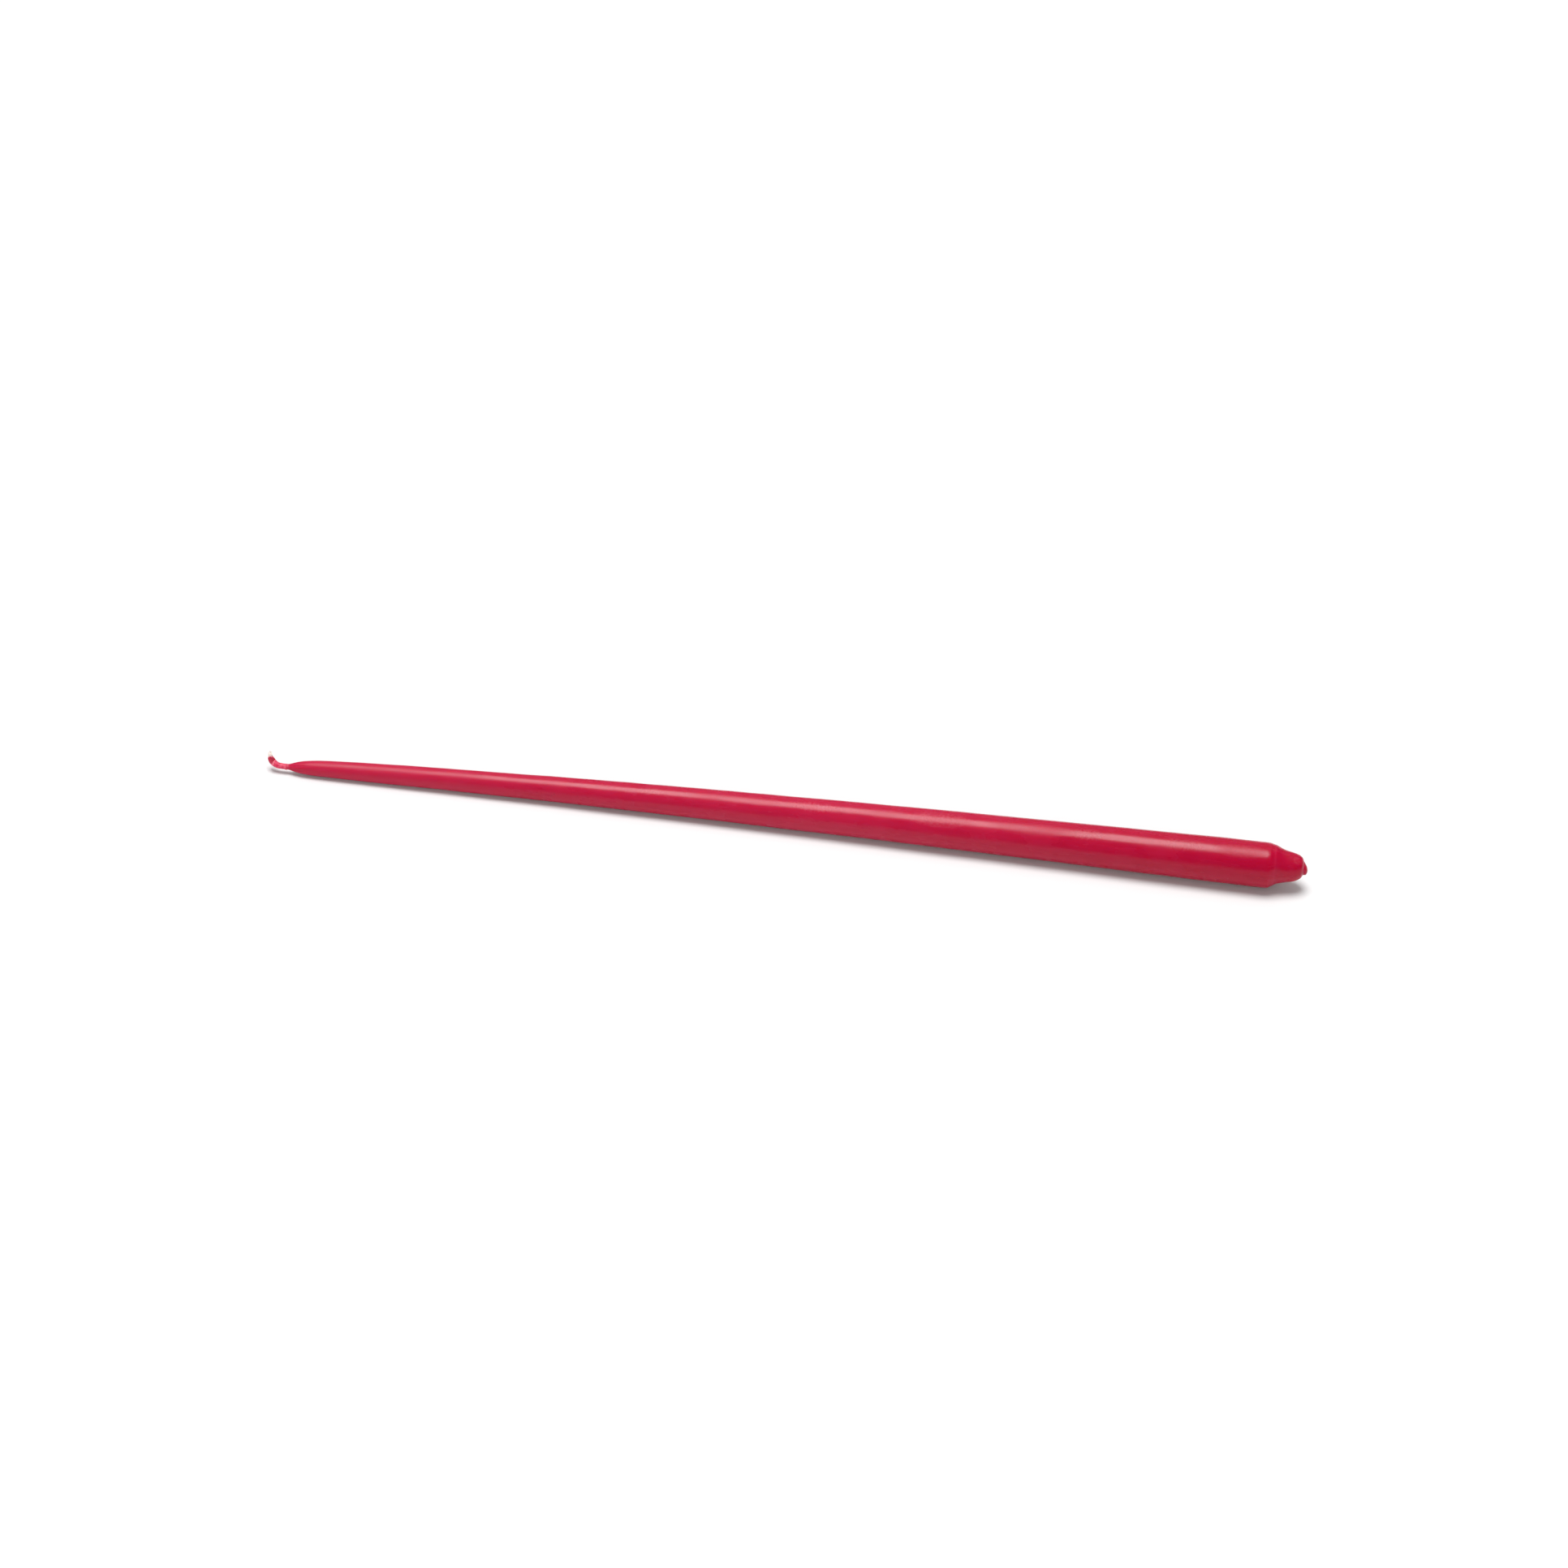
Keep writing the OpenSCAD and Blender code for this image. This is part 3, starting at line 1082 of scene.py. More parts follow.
@dataclass(frozen=True)
class Scuff:
    """A worn patch on the wax, and on the nose a painted highlight: its middle, half its length and width,
    and how grainy and dull it is.
    """

    along: float
    half_length: float
    grain: float = 1.0
    dull: float = 0.0
    angle: float = math.radians(31)
    half_width: float = math.radians(19)
    edge: Span = (0.2, 1.5)

    def share(self, along: np.ndarray, angle: np.ndarray) -> np.ndarray:
        """Returns how far each vertex lies inside the patch, from 0 to 1."""
        lengthwise = (along - self.along) / self.half_length
        return 1 - ease(lengthwise**2 + ((angle - self.angle) / self.half_width) ** 2, *self.edge)


@dataclass(frozen=True)
class NoseMarks:
    """What the skin adds to the nose: its shift off the axis, a ridge, a ring and a slimmer cone."""

    shift: float = 0.24 * MM
    shift_span: Span = (0.8 * MM, 3.2 * MM)
    swells: tuple[Triple, ...] = ((0.1 * MM, 3.2 * MM, 1.2 * MM), (0.08 * MM, 9.6 * MM, 0.8 * MM))
    sag: float = 0.62 * MM
    sag_lead: float = 0.1 * MM
    ridge: float = 0.04 * MM
    ridge_at: float = 1.1 * MM
    ridge_width: float = 0.3 * MM
    ring: float = 0.035 * MM
    ring_at: float = 2.4 * MM
    ring_width: float = 0.28 * MM
    slim: float = 0.12 * MM
    slim_from: Span = (3.5 * MM, 6 * MM)
    slim_to: Span = (9.4 * MM, 10.4 * MM)

    def shift_at(self, form: CandleForm, w: np.ndarray) -> np.ndarray:
        """Finds how far the cooled nose sits off the axis, towards the side that the wick curls to.

        Args:
            form: the candle's sizes.
            w: distances below the shoulder.

        Returns:
            The shift at each.
        """
        whole = self.shift * ease(w, *self.shift_span)
        swell = sum(height * bell(w, middle, width) for height, middle, width in self.swells)
        sag = self.sag * ease(w, form.nose_length - self.sag_lead, form.nose_total)
        return whole + swell - sag

    def worked(self, w: np.ndarray, radius: np.ndarray) -> np.ndarray:
        """Works the ridge, the ring and the slimmer cone into the nose.

        Args:
            w: distances below the shoulder.
            radius: the radius at each.

        Returns:
            The changed radius at each.
        """
        radius = radius + self.ridge * bell(w, self.ridge_at, self.ridge_width)
        radius = radius + self.ring * bell(w, self.ring_at, self.ring_width)
        return radius - self.slim * ease(w, *self.slim_from) * (1 - ease(w, *self.slim_to))


@dataclass(frozen=True)
class Furrows:
    """The furrows that draw together at the neck: their angles, their size and where they run."""

    degrees: tuple[float, ...] = (-80, -28, 12, 52, 104, 165)
    depth: float = 0.09 * MM
    width: float = 0.2
    start_mm: float = -9
    scatter_mm: float = 2.5
    scatter_step: float = 2.1
    full_at: float = -3 * MM
    fade: Span = (-1 * MM, 1.5 * MM)

    def share(self, s: np.ndarray, angle: np.ndarray) -> np.ndarray:
        """Finds how deep the skin lies in a furrow.

        Args:
            s: the distance of each vertex from the neck.
            angle: its angle round the candle.

        Returns:
            The share of the whole depth at each vertex.
        """
        share = np.zeros(len(s))
        for number, degrees in enumerate(self.degrees):
            start = (self.start_mm - self.scatter_mm * math.sin(self.scatter_step * number)) * MM
            length = ease(s, start, self.full_at) * (1 - ease(s, *self.fade))
            share = np.maximum(share, bell(turned(angle, degrees), 0, self.width) * length)
        return share


@dataclass(frozen=True)
class Crack:
    """The crack across the front of the sleeve: its line, its size and the angles that it ends at."""

    at: float = 4.55 * MM
    at_angle: float = 1.0
    slant: float = 0.24 * MM
    wobble: float = 0.04 * MM
    depth: float = 0.16 * MM
    width: float = 0.09 * MM
    frost: float = 0.9
    opens: Span = (math.radians(-62), math.radians(-40))
    closes: Span = (math.radians(120), math.radians(160))

    def share(self, s: np.ndarray, angle: np.ndarray) -> np.ndarray:
        """Finds how deep the skin lies in the crack.

        Args:
            s: the distance of each vertex from the neck.
            angle: its angle round the wick.

        Returns:
            The share of the whole depth at each vertex.
        """
        line = self.at + self.slant * (angle - self.at_angle) + self.wobble * np.sin(4 * angle)
        return bell(s, line, self.width) * ease(angle, *self.opens) * (1 - ease(angle, *self.closes))


@dataclass(frozen=True)
class TornMouth:
    """The ragged end of the sleeve: how far it is pushed along the wick, and its pale edge."""

    push: float = 0.16 * MM
    length: float = 0.7 * MM
    level: float = 0.5
    waves: tuple[Triple, ...] = ((0.5, 1, 2.2), (0.35, 2, 0.4), (0.25, 5, 1.9))
    nicks: float = 0.2
    pale: float = 0.45
    pale_at: float = 0.28 * MM
    pale_scatter: float = 0.16 * MM
    pale_fade: float = 0.2 * MM

    def shift(self, s: np.ndarray, angle: np.ndarray, end: float) -> np.ndarray:
        """Finds how far the skin is pushed along the wick, so that the sleeve looks torn.

        Args:
            s: the distance of each vertex from the neck.
            angle: its angle round the wick.
            end: where the sleeve ends.

        Returns:
            The push on each vertex.
        """
        uneven = sum(height * np.sin(count * angle + phase) for height, count, phase in self.waves)
        uneven = uneven + self.nicks * np.sin(9 * angle + 0.7) * np.sin(2 * angle + 2)
        return self.push * (uneven - self.level) * ease(s, end - self.length, end)

    def frost(self, s: np.ndarray, angle: np.ndarray, end: float) -> np.ndarray:
        """Finds the pale edge where the sleeve has torn.

        Args:
            s: the distance of each vertex from the neck.
            angle: its angle round the wick.
            end: where the sleeve ends.

        Returns:
            How pale each vertex is, from 0 to 1.
        """
        edge = end - self.pale_at + self.pale_scatter * np.sin(3 * angle + 1) * np.cos(5 * angle)
        return self.pale * ease(s, edge, edge + self.pale_fade)


@dataclass(frozen=True)
class Tint:
    """How the look of the wax changes over it: where it is lighter, darker, mottled or dull, and where light
    is painted into its colour.
    """

    # Painted glow: the colour grows lighter towards the thin tip, standing in for light through the wax.
    tip: float = 0.19
    tip_power: float = 1.6
    # Painted light: a lighter band round the middle of the taper.
    middle: float = 0.09
    middle_at: float = 115 * MM
    middle_width: float = 65 * MM
    sleeve: float = 0.3
    sleeve_span: Span = (-0.5 * MM, 1.2 * MM)
    ring: float = 0.1
    # Painted highlight: a lighter ring where the drip meets the face of the nose.
    face: float = 0.14
    ring_width: float = 0.3 * MM
    dark: float = 0.45
    dark_degrees: float = 23
    dark_width: float = 1.1
    dark_span: Span = (4.3 * MM, 4.9 * MM)
    mottle_span: Span = (-1 * MM, 0.4 * MM)
    mottle_loss: float = 0.8
    dull: float = 0.95
    dull_span: Span = (195 * MM, 262 * MM)


@dataclass
class DippedWax:
    """The wax: butt, nose, long taper, tip and the thin sleeve on the wick."""

    form: CandleForm
    loft: LoftTree
    finish: WaxFinish = field(default_factory=WaxFinish)
    name: str = "dipped_wax"
    sides: int = 96
    nose_steps: int = 20
    barrel_rings: int = 28
    taper_rings: int = 380
    tip_rings: int = 80
    sleeve_rings: int = 150
    lip_rings: int = 6
    socket_rings: int = 5
    tip_zone_share: float = 1.25
    lip: float = 0.1 * MM
    lip_flat: float = 0.25
    socket_depth: float = 0.8 * MM
    bore_margin: float = 1.02
    seed: int = 4
    slow_wave: float = 0.11 * MM
    slow_length: float = 20 * MM
    slow_width: float = 7 * MM
    quick_wave: float = 0.035 * MM
    lump_wave: float = 0.045 * MM
    lump_span: Span = (-2 * MM, 0.5 * MM)
    nose_wave: float = 1.6
    nose_wave_within: float = 3 * MM
    neck_calm: float = 0.85
    neck_calm_within: float = 8 * MM
    dab_frost: float = 1.3
    nose: NoseMarks = NoseMarks()
    furrows: Furrows = Furrows()
    crack: Crack = Crack()
    mouth: TornMouth = TornMouth()
    tint: Tint = Tint()
    dabs: tuple[Dab, ...] = (
        Dab(0.5 * MM, math.radians(-75), 0.16 * MM, 0.3 * MM),
        Dab(0.75 * MM, math.radians(-20), 0.09 * MM, 0.25 * MM, 0.25),
        Dab(4.3 * MM, math.radians(-56), 0.14 * MM, 0.2 * MM, 1.0),
        Dab(4.48 * MM, math.radians(-66), 0.11 * MM, 0.2 * MM, 0.9),
        Dab(5.6 * MM, math.radians(60), 0.08 * MM, 0.4 * MM),
    )
    scuffs: tuple[Scuff, ...] = (
        Scuff(176 * MM, 4 * MM, 0.7),
        Scuff(150 * MM, 14 * MM, 0.2, 0.35),
        Scuff(128.5 * MM, 7.5 * MM, 0.9),
        Scuff(109 * MM, 9 * MM, 0.1, 0.3),
        Scuff(93 * MM, 9 * MM, 0.9, 0.5, half_width=math.radians(26)),
        Scuff(66 * MM, 12 * MM, 0.25, 0.75),
        Scuff(51 * MM, 5 * MM, 0.8),
        Scuff(24 * MM, 7 * MM, 0.6),
        Scuff(7 * MM, 7.5 * MM, 0.4, 0.8),
        # Painted highlight: a faint pale, grainy, duller patch on the corner of the nose.
        Scuff(-8.8 * MM, 1.4 * MM, 0.6, 0.2),
    )

    def stations(self) -> Stations:
        """Lays out the rings of the skin.

        Returns:
            The stations, from the drip to the neck and on to inside the sleeve's mouth.
        """
        form = self.form
        outline = form.nose_outline(self.nose_steps)[::-1]
        w, nose_r = outline[:, 0], outline[:, 1]
        nose_r = self.nose.worked(w, nose_r)
        nose = form.axis_at(-w) + self.nose.shift_at(form, w)[:, None] * form.curl
        tip_zone = self.tip_zone_share * form.tip_length
        t = np.concatenate([
            np.linspace(0, form.barrel_length, self.barrel_rings, endpoint=False),
            np.linspace(form.barrel_length, form.neck_t - tip_zone, self.taper_rings, endpoint=False),
            form.neck_t - tip_zone * np.linspace(1, 0, self.tip_rings) ** 2,
        ])
        s = np.linspace(0, form.sleeve_length - self.lip, self.sleeve_rings)[1:]
        turn = np.linspace(0, math.pi / 2, self.lip_rings + 1)[1:]
        end_r, bore_r = form.mouth_d / 2, form.wick_d / 2
        lip_s = form.sleeve_length - self.lip + self.lip * np.sin(turn)
        lip_r = bore_r + (end_r - bore_r) * (self.lip_flat + (1 - self.lip_flat) * np.cos(turn))
        inner_s = form.sleeve_length - np.linspace(self.lip, self.socket_depth, self.socket_rings)
        inner_r = np.full(self.socket_rings, bore_r)
        out_s = np.concatenate([s, lip_s, inner_s, inner_s[-1:]])
        out_r = np.concatenate([form.sleeve_r_at(s), lip_r, inner_r, [0.0]])
        middle = np.concatenate([nose[:1], nose, form.axis_at(t), form.hook_at(out_s)])
        within = np.concatenate([-w[:1], -w, t])
        direction = np.concatenate([form.axis_dir(within), form.hook_dir(out_s)])
        radius = np.concatenate([[0.0], nose_r, form.wax_r_at(t), out_r])
        along = np.concatenate([within, form.neck_t + out_s])
        calm = ease(along, form.neck_t - self.neck_calm_within, form.neck_t)
        on_nose = 1 + (self.nose_wave - 1) * ease(-along, 0, self.nose_wave_within)
        ripple = np.where(along < 0, on_nose, 1 - self.neck_calm * calm)
        ripple[[0, -1]] = 0
        lumps_from, lumps_to = self.lump_span
        lumps = ease(along, form.neck_t + lumps_from, form.neck_t + lumps_to)
        # The lip's last ring, the socket and the point that closes it stay smooth.
        lumps[-(self.socket_rings + 2):] = 0
        side, up = form.ring_axes(direction)
        return Stations(middle, side, up, radius, along, ripple, lumps)

    def model(self) -> bpy.types.Object:
        """Builds the skin, works its small marks into it and stores what its finish reads.

        Returns:
            The finished piece.
        """
        values = {
            "Sides": self.sides,
            "Slow Wave Height": self.slow_wave,
            "Slow Wave Length": self.slow_length,
            "Slow Wave Width": self.slow_width,
            "Quick Wave Height": self.quick_wave,
            "Lump Wave Height": self.lump_wave,
            "Seed": self.seed,
            "Material": self.finish.material(),
        }
        made = self.loft.run(self.stations().source("wax_stations"), values, self.name)
        mesh = made.data
        co, normals = vertex_vectors(mesh, "co"), vertex_vectors(mesh, "normal")
        along, radius = get_mark(mesh, Mark.ALONG), get_mark(mesh, Mark.RADIUS)
        angle = turned(get_mark(mesh, Mark.TURN) * math.tau, 0)
        s, end = along - self.form.neck_t, self.form.sleeve_length
        outside = radius > self.form.wick_d / 2 * self.bore_margin
        crack = self.crack.share(s, angle) * outside
        shift = -self.crack.depth * crack - self.furrows.depth * self.furrows.share(s, angle)
        frost = self.crack.frost * crack
        for dab in self.dabs:
            distance = ((co - self.surface_point(dab)) ** 2).sum(1)
            share = np.exp(-distance / dab.reach**2) * outside
            shift += dab.height * share
            frost = np.maximum(frost, dab.frost * np.clip(self.dab_frost * share, 0, 1))
        frost = np.maximum(frost, self.mouth.frost(s, angle, end) * outside)
        co += normals * shift[:, None]
        co += self.mouth.shift(s, angle, end)[:, None] * self.form.hook_dir(np.array([end]))
        co[:, 2] = np.maximum(co[:, 2], 0)
        mesh.vertices.foreach_set("co", co.astype(np.float32).ravel())
        put_mark(mesh, Mark.FROST, np.clip(frost, 0, 1))
        put_mark(mesh, Mark.ROSE, self.rose(along, s, angle))
        grain, dull = self.worn(along, angle)
        put_mark(mesh, Mark.SCUFF, grain)
        put_mark(mesh, Mark.DULL, dull)
        mottled = ease(s, *self.tint.mottle_span) * (1 - self.tint.mottle_loss * self.shade(s, angle))
        put_mark(mesh, Mark.SLEEVE, mottled)
        mesh.update()
        return made

    def worn(self, along: np.ndarray, angle: np.ndarray) -> tuple[np.ndarray, np.ndarray]:
        """Finds how worn the skin is.

        Args:
            along: the distance of each vertex along the candle.
            angle: its angle round the candle.

        Returns:
            How grainy and how dull each vertex is, from 0 to 1.
        """
        grain = np.zeros(len(along))
        dull = self.tint.dull * ease(along, *self.tint.dull_span)
        for scuff in self.scuffs:
            share = scuff.share(along, angle)
            grain = np.maximum(grain, scuff.grain * share)
            dull = np.maximum(dull, scuff.dull * share)
        return grain, dull

    def surface_point(self, dab: Dab) -> np.ndarray:
        """Finds where a dab sits on the sleeve.

        Args:
            dab: the drop of wax.

        Returns:
            The point of the skin at its middle.
        """
        s = np.array([dab.along])
        _, normal, _ = self.form.hook_frame()
        up = np.cross(self.form.hook_dir(s), normal)[0]
        out = math.cos(dab.angle) * normal + math.sin(dab.angle) * up
        return self.form.hook_at(s)[0] + self.form.sleeve_r_at(s)[0] * out

    def shade(self, s: np.ndarray, angle: np.ndarray) -> np.ndarray:
        """Returns how far each vertex lies in the dark, smooth wax beyond the crack, from 0 to 1."""
        tint = self.tint
        return bell(turned(angle, tint.dark_degrees), 0, tint.dark_width) * ease(s, *tint.dark_span)

    def rose(self, along: np.ndarray, s: np.ndarray, angle: np.ndarray) -> np.ndarray:
        """Finds how much lighter each vertex is drawn than the butt: real pink wax and painted light
        together.

        Args:
            along: the distance of each vertex along the candle.
            s: its distance from the neck.
            angle: its angle round the candle.

        Returns:
            The share of pink at each vertex, up to 1. Below 0 the wax is darker than at the butt.
        """
        form, tint = self.form, self.tint
        # Painted glow towards the thin tip.
        far = tint.tip * (np.clip(along, 0, None) / form.neck_t) ** tint.tip_power
        # Painted light: lighter round the middle of the taper.
        taper = far + tint.middle * bell(along, tint.middle_at, tint.middle_width)
        dark = self.shade(s, angle)
        sleeve = tint.sleeve * ease(s, *tint.sleeve_span) * (1 - dark)
        ring = tint.ring * bell(along, -self.nose.ring_at, tint.ring_width)
        # Painted highlight in the crease at the base of the drip.
        ring = ring + tint.face * bell(along, -form.nose_length, tint.ring_width)
        return np.clip(taper + sleeve + ring - tint.dark * dark, -1, 1)



@dataclass(frozen=True)
class Hairs:
    """A kind of loose fibre: its lengths, its thickness, how it leans and bends, and its seed."""

    shortest: float
    longest: float
    radius: float
    lean: float
    bends: int
    seed: int

    def settings(self, density: float, cotton: bpy.types.Material) -> Settings:
        """Sets the fibres' tree.

        Args:
            density: how many of them stand on a square metre.
            cotton: their material.

        Returns:
            What to set the tree's inputs to.
        """
        return {
            "Fibres For A Square Metre": density,
            "Shortest": self.shortest,
            "Longest": self.longest,
            "Fibre Radius": self.radius,
            "Lean": self.lean,
            "Bends": self.bends,
            "Seed": self.seed,
            "Material": cotton,
        }


@dataclass
class CottonWick:
    """The braided wick: a core that runs through the wax, plaited yarns and loose fibres at the cut."""

    form: CandleForm
    loft: LoftTree
    braid: BraidTree
    fibres: FibreTree
    finish: CottonFinish = field(default_factory=CottonFinish)
    name: str = "cotton_wick"
    braid_from: float = 4.0 * MM
    yarn_r: float = 0.15 * MM
    core_r: float = 0.42 * MM
    tuft_r: float = 0.42 * MM
    gather: float = 0.2 * MM
    gather_length: float = 0.9 * MM
    core_rings: int = 60
    core_sides: int = 24
    core_short: float = 0.12 * MM
    core_narrows: float = 1 * MM
    neck_rings: int = 12
    braid_rings: int = 90
    braid_seed: int = 3
    rim_points: int = 16
    tuft: Hairs = Hairs(0.15 * MM, 0.5 * MM, 0.012 * MM, 0.9, 7, 11)
    tuft_count: int = 220
    fuzz: Hairs = Hairs(0.15 * MM, 0.4 * MM, 0.01 * MM, 1.5, 4, 23)
    fuzz_density: float = 1.1e8
    fuzz_r: float = 0.56 * MM
    fuzz_inset: float = 0.1 * MM
    tube_rings: int = 12
    tube_sides: int = 16
    soaked: float = 0.85
    soak_span: Span = (-0.15 * MM, 0.5 * MM)

    def line(self, s: np.ndarray) -> tuple[np.ndarray, np.ndarray]:
        """Returns the wick's points and directions outside the neck."""
        return self.form.hook_at(s), self.form.hook_dir(s)

    def core_stations(self) -> Stations:
        """Lays out the rings of the core.

        Returns:
            The stations, from above the drip to just below the cut.
        """
        form = self.form
        t = np.concatenate([
            np.linspace(form.wick_cover - form.nose_total, form.neck_t - form.tip_length, self.core_rings),
            np.linspace(form.neck_t - form.tip_length, form.neck_t, self.neck_rings)[1:],
        ])
        s = np.linspace(0, form.wick_out - self.core_short, self.core_rings)[1:]
        middle = np.concatenate([form.axis_at(t), form.hook_at(s)])
        direction = np.concatenate([form.axis_dir(t), form.hook_dir(s)])
        along = np.concatenate([t, form.neck_t + s])
        inside = 1 - ease(along - form.neck_t, self.braid_from - self.core_narrows, self.braid_from)
        radius = self.core_r + (form.wick_d / 2 - self.core_r) * inside
        return self.capped(middle, direction, radius, along)

    def capped(
        self, middle: np.ndarray, direction: np.ndarray, radius: np.ndarray, along: np.ndarray
    ) -> Stations:
        """Ends a row of rings in a point at either end, so that the loft closes.

        Args:
            middle: the middles of the rings.
            direction: the directions that the rings face.
            radius: their radii.
            along: their distances along the candle.

        Returns:
            The stations, with one more at either end.
        """
        rows = np.concatenate([[0], np.arange(len(along)), [len(along) - 1]])
        side, up = self.form.ring_axes(direction[rows])
        radius = radius[rows]
        radius[[0, -1]] = 0
        still = np.zeros(len(radius))
        return Stations(middle[rows], side, up, radius, along[rows], still, still)

    def braid_stations(self) -> Stations:
        """Lays out the line that the yarns wind round.

        Returns:
            The stations, from inside the sleeve to the cut.
        """
        s = np.linspace(self.braid_from, self.form.wick_out, self.braid_rings)
        middle, direction = self.line(s)
        side, up = self.form.ring_axes(direction)
        still = np.zeros(len(s))
        return Stations(middle, side, up, still + self.core_r, s, still, still)

    def cut_face(self) -> bpy.types.Object:
        """Makes a small disc on the cut end, which the loose fibres stand on.

        Returns:
            The disc, facing away from the wick.
        """
        form = self.form
        s = np.array([form.wick_out])
        middle, direction = self.line(s)
        side, up = form.ring_axes(direction)
        angle = np.linspace(0, math.tau, self.rim_points, endpoint=False)[:, None]
        rim = middle + self.tuft_r * (np.cos(angle) * side + np.sin(angle) * up)
        mesh = bpy.data.meshes.new("cut_face")
        mesh.from_pydata(rim.tolist(), [], [tuple(range(self.rim_points))])
        if Vector(mesh.polygons[0].normal).dot(Vector(direction[0])) < 0:
            mesh.flip_normals()
        made = bpy.data.objects.new("cut_face", mesh)
        bpy.context.scene.collection.objects.link(made)
        return made

    def model(self) -> list[bpy.types.Object]:
        """Builds the core with its yarns as one piece, and the fibres as another.

        Returns:
            The two pieces.
        """
        cotton = self.finish.material()
        form = self.form
        rod = {"Sides": self.core_sides, "Material": cotton}
        core = self.loft.run(self.core_stations().source("core_stations"), rod, "core")
        winding = {
            "Yarn Radius": self.yarn_r,
            "Splay": -self.gather,
            "Splay From": form.wick_out - self.gather_length,
            "Splay To": form.wick_out,
            "Seed": self.braid_seed,
            "Material": cotton,
        }
        yarns = self.braid.run(self.braid_stations().source("braid_stations"), winding, "yarns")
        tuft = self.tuft.settings(self.tuft_count / (math.pi * self.tuft_r**2), cotton)
        hairs = self.fibres.run(self.cut_face(), tuft, "tuft")
        short = self.fuzz.settings(self.fuzz_density, cotton)
        fuzz = self.fibres.run(self.bare_tube(cotton), short, "fuzz")
        wick = self.joined([core, yarns], self.name)
        hairs = self.joined([hairs, fuzz], "wick_fibres")
        for piece in (wick, hairs):
            self.soak(piece.data)
        return [wick, hairs]

    def bare_tube(self, cotton: bpy.types.Material) -> bpy.types.Object:
        """Makes a tube round the bare braid, which the short fuzz stands on.

        Args:
            cotton: the tube's material.

        Returns:
            The tube.
        """
        end = self.form.wick_out
        s = np.linspace(self.form.sleeve_length - self.fuzz_inset, end - self.fuzz_inset, self.tube_rings)
        middle, direction = self.line(s)
        side, up = self.form.ring_axes(direction)
        still = np.zeros(len(s))
        radius = self.fuzz_r - self.gather * ease(s, end - self.gather_length, end)
        tube = Stations(middle, side, up, radius, s, still, still)
        values = {"Sides": self.tube_sides, "Material": cotton}
        return self.loft.run(tube.source("tube_stations"), values, "bare_tube")

    def joined(self, parts: list[bpy.types.Object], name: str) -> bpy.types.Object:
        """Joins some parts.

        Args:
            parts: the objects to join.
            name: what to call the result.

        Returns:
            The first object, which now holds all of them.
        """
        for part in parts:
            for label in sorted({mark.value for mark in Mark} & set(part.data.attributes.keys())):
                part.data.attributes.remove(part.data.attributes[label])
        picked = {"active_object": parts[0], "selected_objects": parts, "selected_editable_objects": parts}
        with bpy.context.temp_override(**picked):
            bpy.ops.object.join()
        parts[0].name = name
        parts[0].data.name = name
        return parts[0]

    def soak(self, mesh: bpy.types.Mesh) -> None:
        """Marks how far coloured wax has soaked into the cotton.

        Args:
            mesh: the mesh that carries the marks.
        """
        mouth, direction = self.line(np.array([self.form.sleeve_length]))
        beyond = (vertex_vectors(mesh, "co") - mouth[0]) @ direction[0]
        put_mark(mesh, Mark.SOAK, self.soaked * (1 - ease(beyond, *self.soak_span)))


@dataclass(frozen=True)
class Viewpoint:
    """Where the camera stands and aims: its angles, its roll, how far off it is, its lens and its aim."""

    azimuth: float = math.radians(6.0)
    elevation: float = math.radians(35.0)
    roll: float = math.radians(3.551)
    distance: float = 1196.7 * MM
    lens: float = 96.0
    aim_across: float = 0.12 * MM
    aim_up: float = 6.72 * MM
    aim_height: float = 6 * MM

    def camera(self) -> bpy.types.Object:
        """Sets up the scene's camera.

        Returns:
            The camera.
        """
        level = math.cos(self.elevation)
        plan = (math.sin(self.azimuth) * level, -math.cos(self.azimuth) * level)
        back = Vector((*plan, math.sin(self.elevation)))
        right = Vector((math.cos(self.azimuth), math.sin(self.azimuth), 0.0))
        above = back.cross(right)
        across = math.cos(self.roll) * right + math.sin(self.roll) * above
        up = math.cos(self.roll) * above - math.sin(self.roll) * right
        aim = Vector((0, 0, self.aim_height)) + self.aim_across * across + self.aim_up * up
        data = bpy.data.cameras.new("camera")
        data.lens = self.lens
        data.sensor_width = 36.0
        data.dof.use_dof = False
        data.clip_start, data.clip_end = 0.01, 100.0
        made = bpy.data.objects.new("camera", data)
        facing = Matrix((across, up, back)).transposed().to_4x4()
        made.matrix_world = Matrix.Translation(aim + self.distance * back) @ facing
        bpy.context.scene.collection.objects.link(made)
        bpy.context.scene.camera = made
        return made


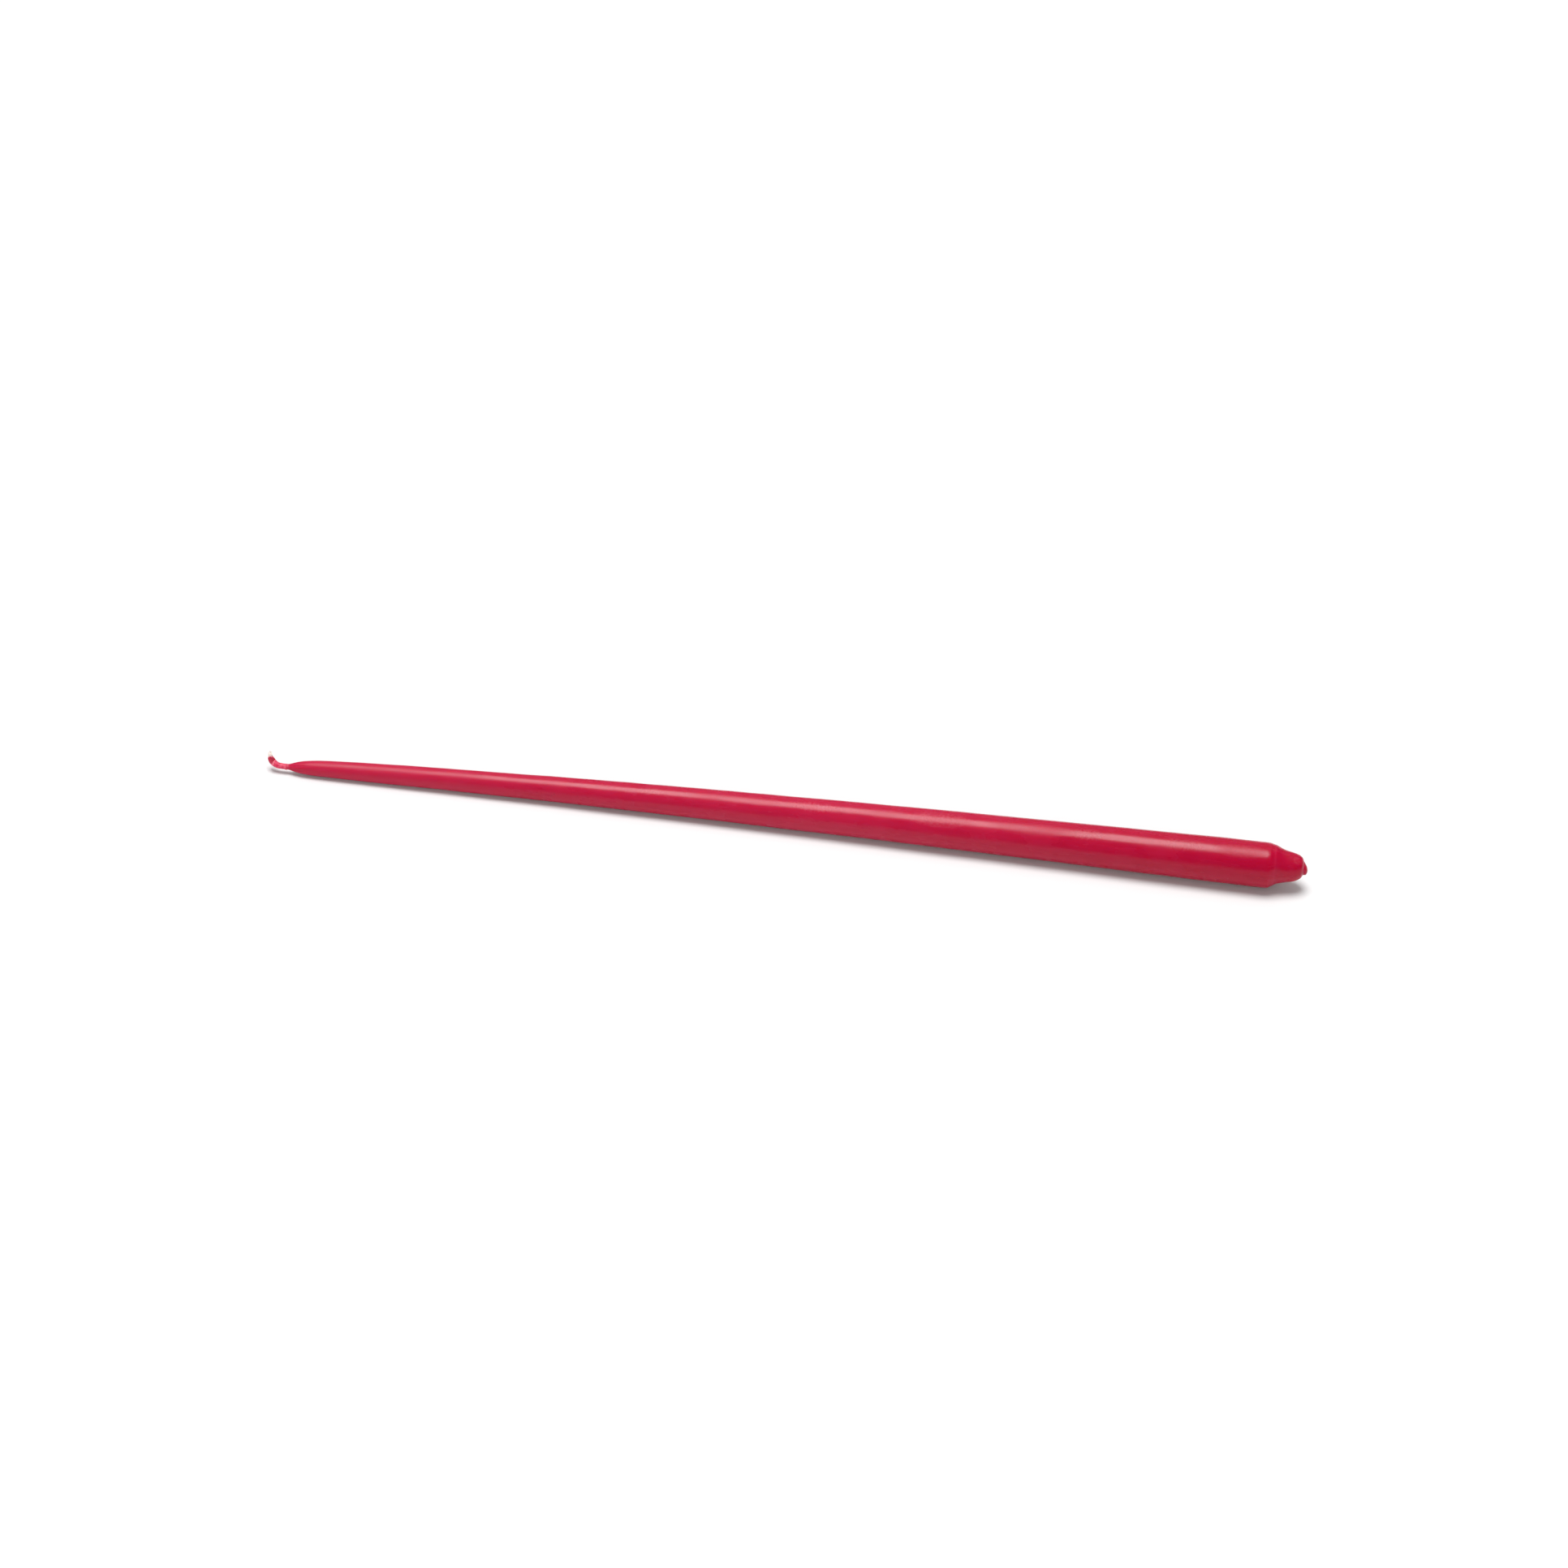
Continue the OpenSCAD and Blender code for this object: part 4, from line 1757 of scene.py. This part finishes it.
@dataclass
class Studio:
    """The pale floor and the soft light of the picture."""

    floor_side: float = 16.0
    floor_colour: Triple = (0.585, 0.585, 0.585)
    overhead: float = 3.8
    overhead_spread: float = math.radians(36)
    overhead_tilt: float = math.radians(3)
    overhead_slant: float = math.radians(5)
    front: float = 2.0
    front_spread: float = math.radians(70)
    front_height: float = math.radians(10)
    back: float = 0.34
    back_spread: float = math.radians(60)
    back_height: float = math.radians(45)
    room: float = 0.4
    backdrop: float = 1.0

    def floor(self) -> bpy.types.Object:
        """Lays the floor, a flat pale sheet with a faintly uneven sheen.

        Returns:
            The floor.
        """
        half = self.floor_side / 2
        mesh = bpy.data.meshes.new("floor")
        rim = [(-half, -half, 0), (half, -half, 0), (half, half, 0), (-half, half, 0)]
        mesh.from_pydata(rim, [], [(0, 1, 2, 3)])
        made = bpy.data.objects.new("floor", mesh)
        bpy.context.scene.collection.objects.link(made)
        paper = bpy.data.materials.new("pale_floor")
        paper.use_nodes = True
        graph = Graph(paper.node_tree)
        shader = paper.node_tree.nodes["Principled BSDF"]
        place = graph.add("ShaderNodeTexCoord").outputs["Object"]
        rough = graph.ramp(graph.noise(place, 30), 0.3, 0.7, 0.8, 0.9)
        graph.tree.links.new(rough, shader.inputs["Roughness"])
        shader.inputs["Base Color"].default_value = (*self.floor_colour, 1.0)
        shader.inputs["Specular IOR Level"].default_value = 0.1
        mesh.materials.append(paper)
        return made

    def lamp(self, name: str, strength: float, spread: float, turn: Triple) -> bpy.types.Object:
        """Adds a wide soft light.

        Args:
            name: the light's name.
            strength: how much light falls on a surface that faces it.
            spread: the angle that it covers, seen from the candle.
            turn: its rotation from straight overhead.

        Returns:
            The light's object.
        """
        data = bpy.data.lights.new(name, "SUN")
        data.energy = strength
        data.angle = spread
        made = bpy.data.objects.new(name, data)
        made.rotation_euler = turn
        bpy.context.scene.collection.objects.link(made)
        return made

    def lights(self) -> None:
        """Sets the overhead light, which draws the long highlight, a faint one behind, and one in front."""
        overhead_turn = (-self.overhead_tilt, -self.overhead_slant, 0.0)
        self.lamp("overhead", self.overhead, self.overhead_spread, overhead_turn)
        self.lamp("back", self.back, self.back_spread, (self.back_height - math.pi / 2, 0.0, 0.0))
        front_turn = (math.pi / 2 - self.front_height, 0.0, 0.0)
        self.lamp("front", self.front, self.front_spread, front_turn).visible_glossy = False

    def surroundings(self) -> None:
        """Sets the dim light of the room, and the pale backdrop that the camera sees past the floor."""
        world = bpy.data.worlds.new("room")
        bpy.context.scene.world = world
        world.use_nodes = True
        graph = Graph(world.node_tree)
        shown = graph.add("ShaderNodeLightPath").outputs["Is Camera Ray"]
        strength = graph.ramp(shown, 0.0, 1.0, self.room, self.backdrop)
        shine = world.node_tree.nodes["Background"]
        shine.inputs["Color"].default_value = (1.0, 1.0, 1.0, 1.0)
        graph.tree.links.new(strength, shine.inputs["Strength"])
        world.cycles_visibility.glossy = False

    def colours(self) -> None:
        """Shows the picture's colours as they are, without a film-like curve."""
        bpy.context.scene.view_settings.view_transform = "Standard"


def main() -> None:
    """Builds the pieces in order and reports each."""
    logging.basicConfig(level=logging.INFO, format="%(name)s: %(message)s")
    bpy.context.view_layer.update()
    form = CandleForm.from_frame(frame["record"])
    Viewpoint().camera()
    studio = Studio()
    studio.floor()
    studio.lights()
    studio.surroundings()
    studio.colours()
    loft = LoftTree()
    wax = DippedWax(form, loft).model()
    wick, hairs = CottonWick(form, loft, BraidTree(), FibreTree()).model()
    for piece, slot in ((wax, Slot.WAX), (wick, Slot.COTTON), (hairs, Slot.COTTON)):
        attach(piece, "root")
        LOG.info("%s: %d vertices, %d faces", piece.name, len(piece.data.vertices), len(piece.data.polygons))
    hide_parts(Node.WAX.value)
    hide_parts(Node.WICK.value)


if __name__ == "__main__":
    main()
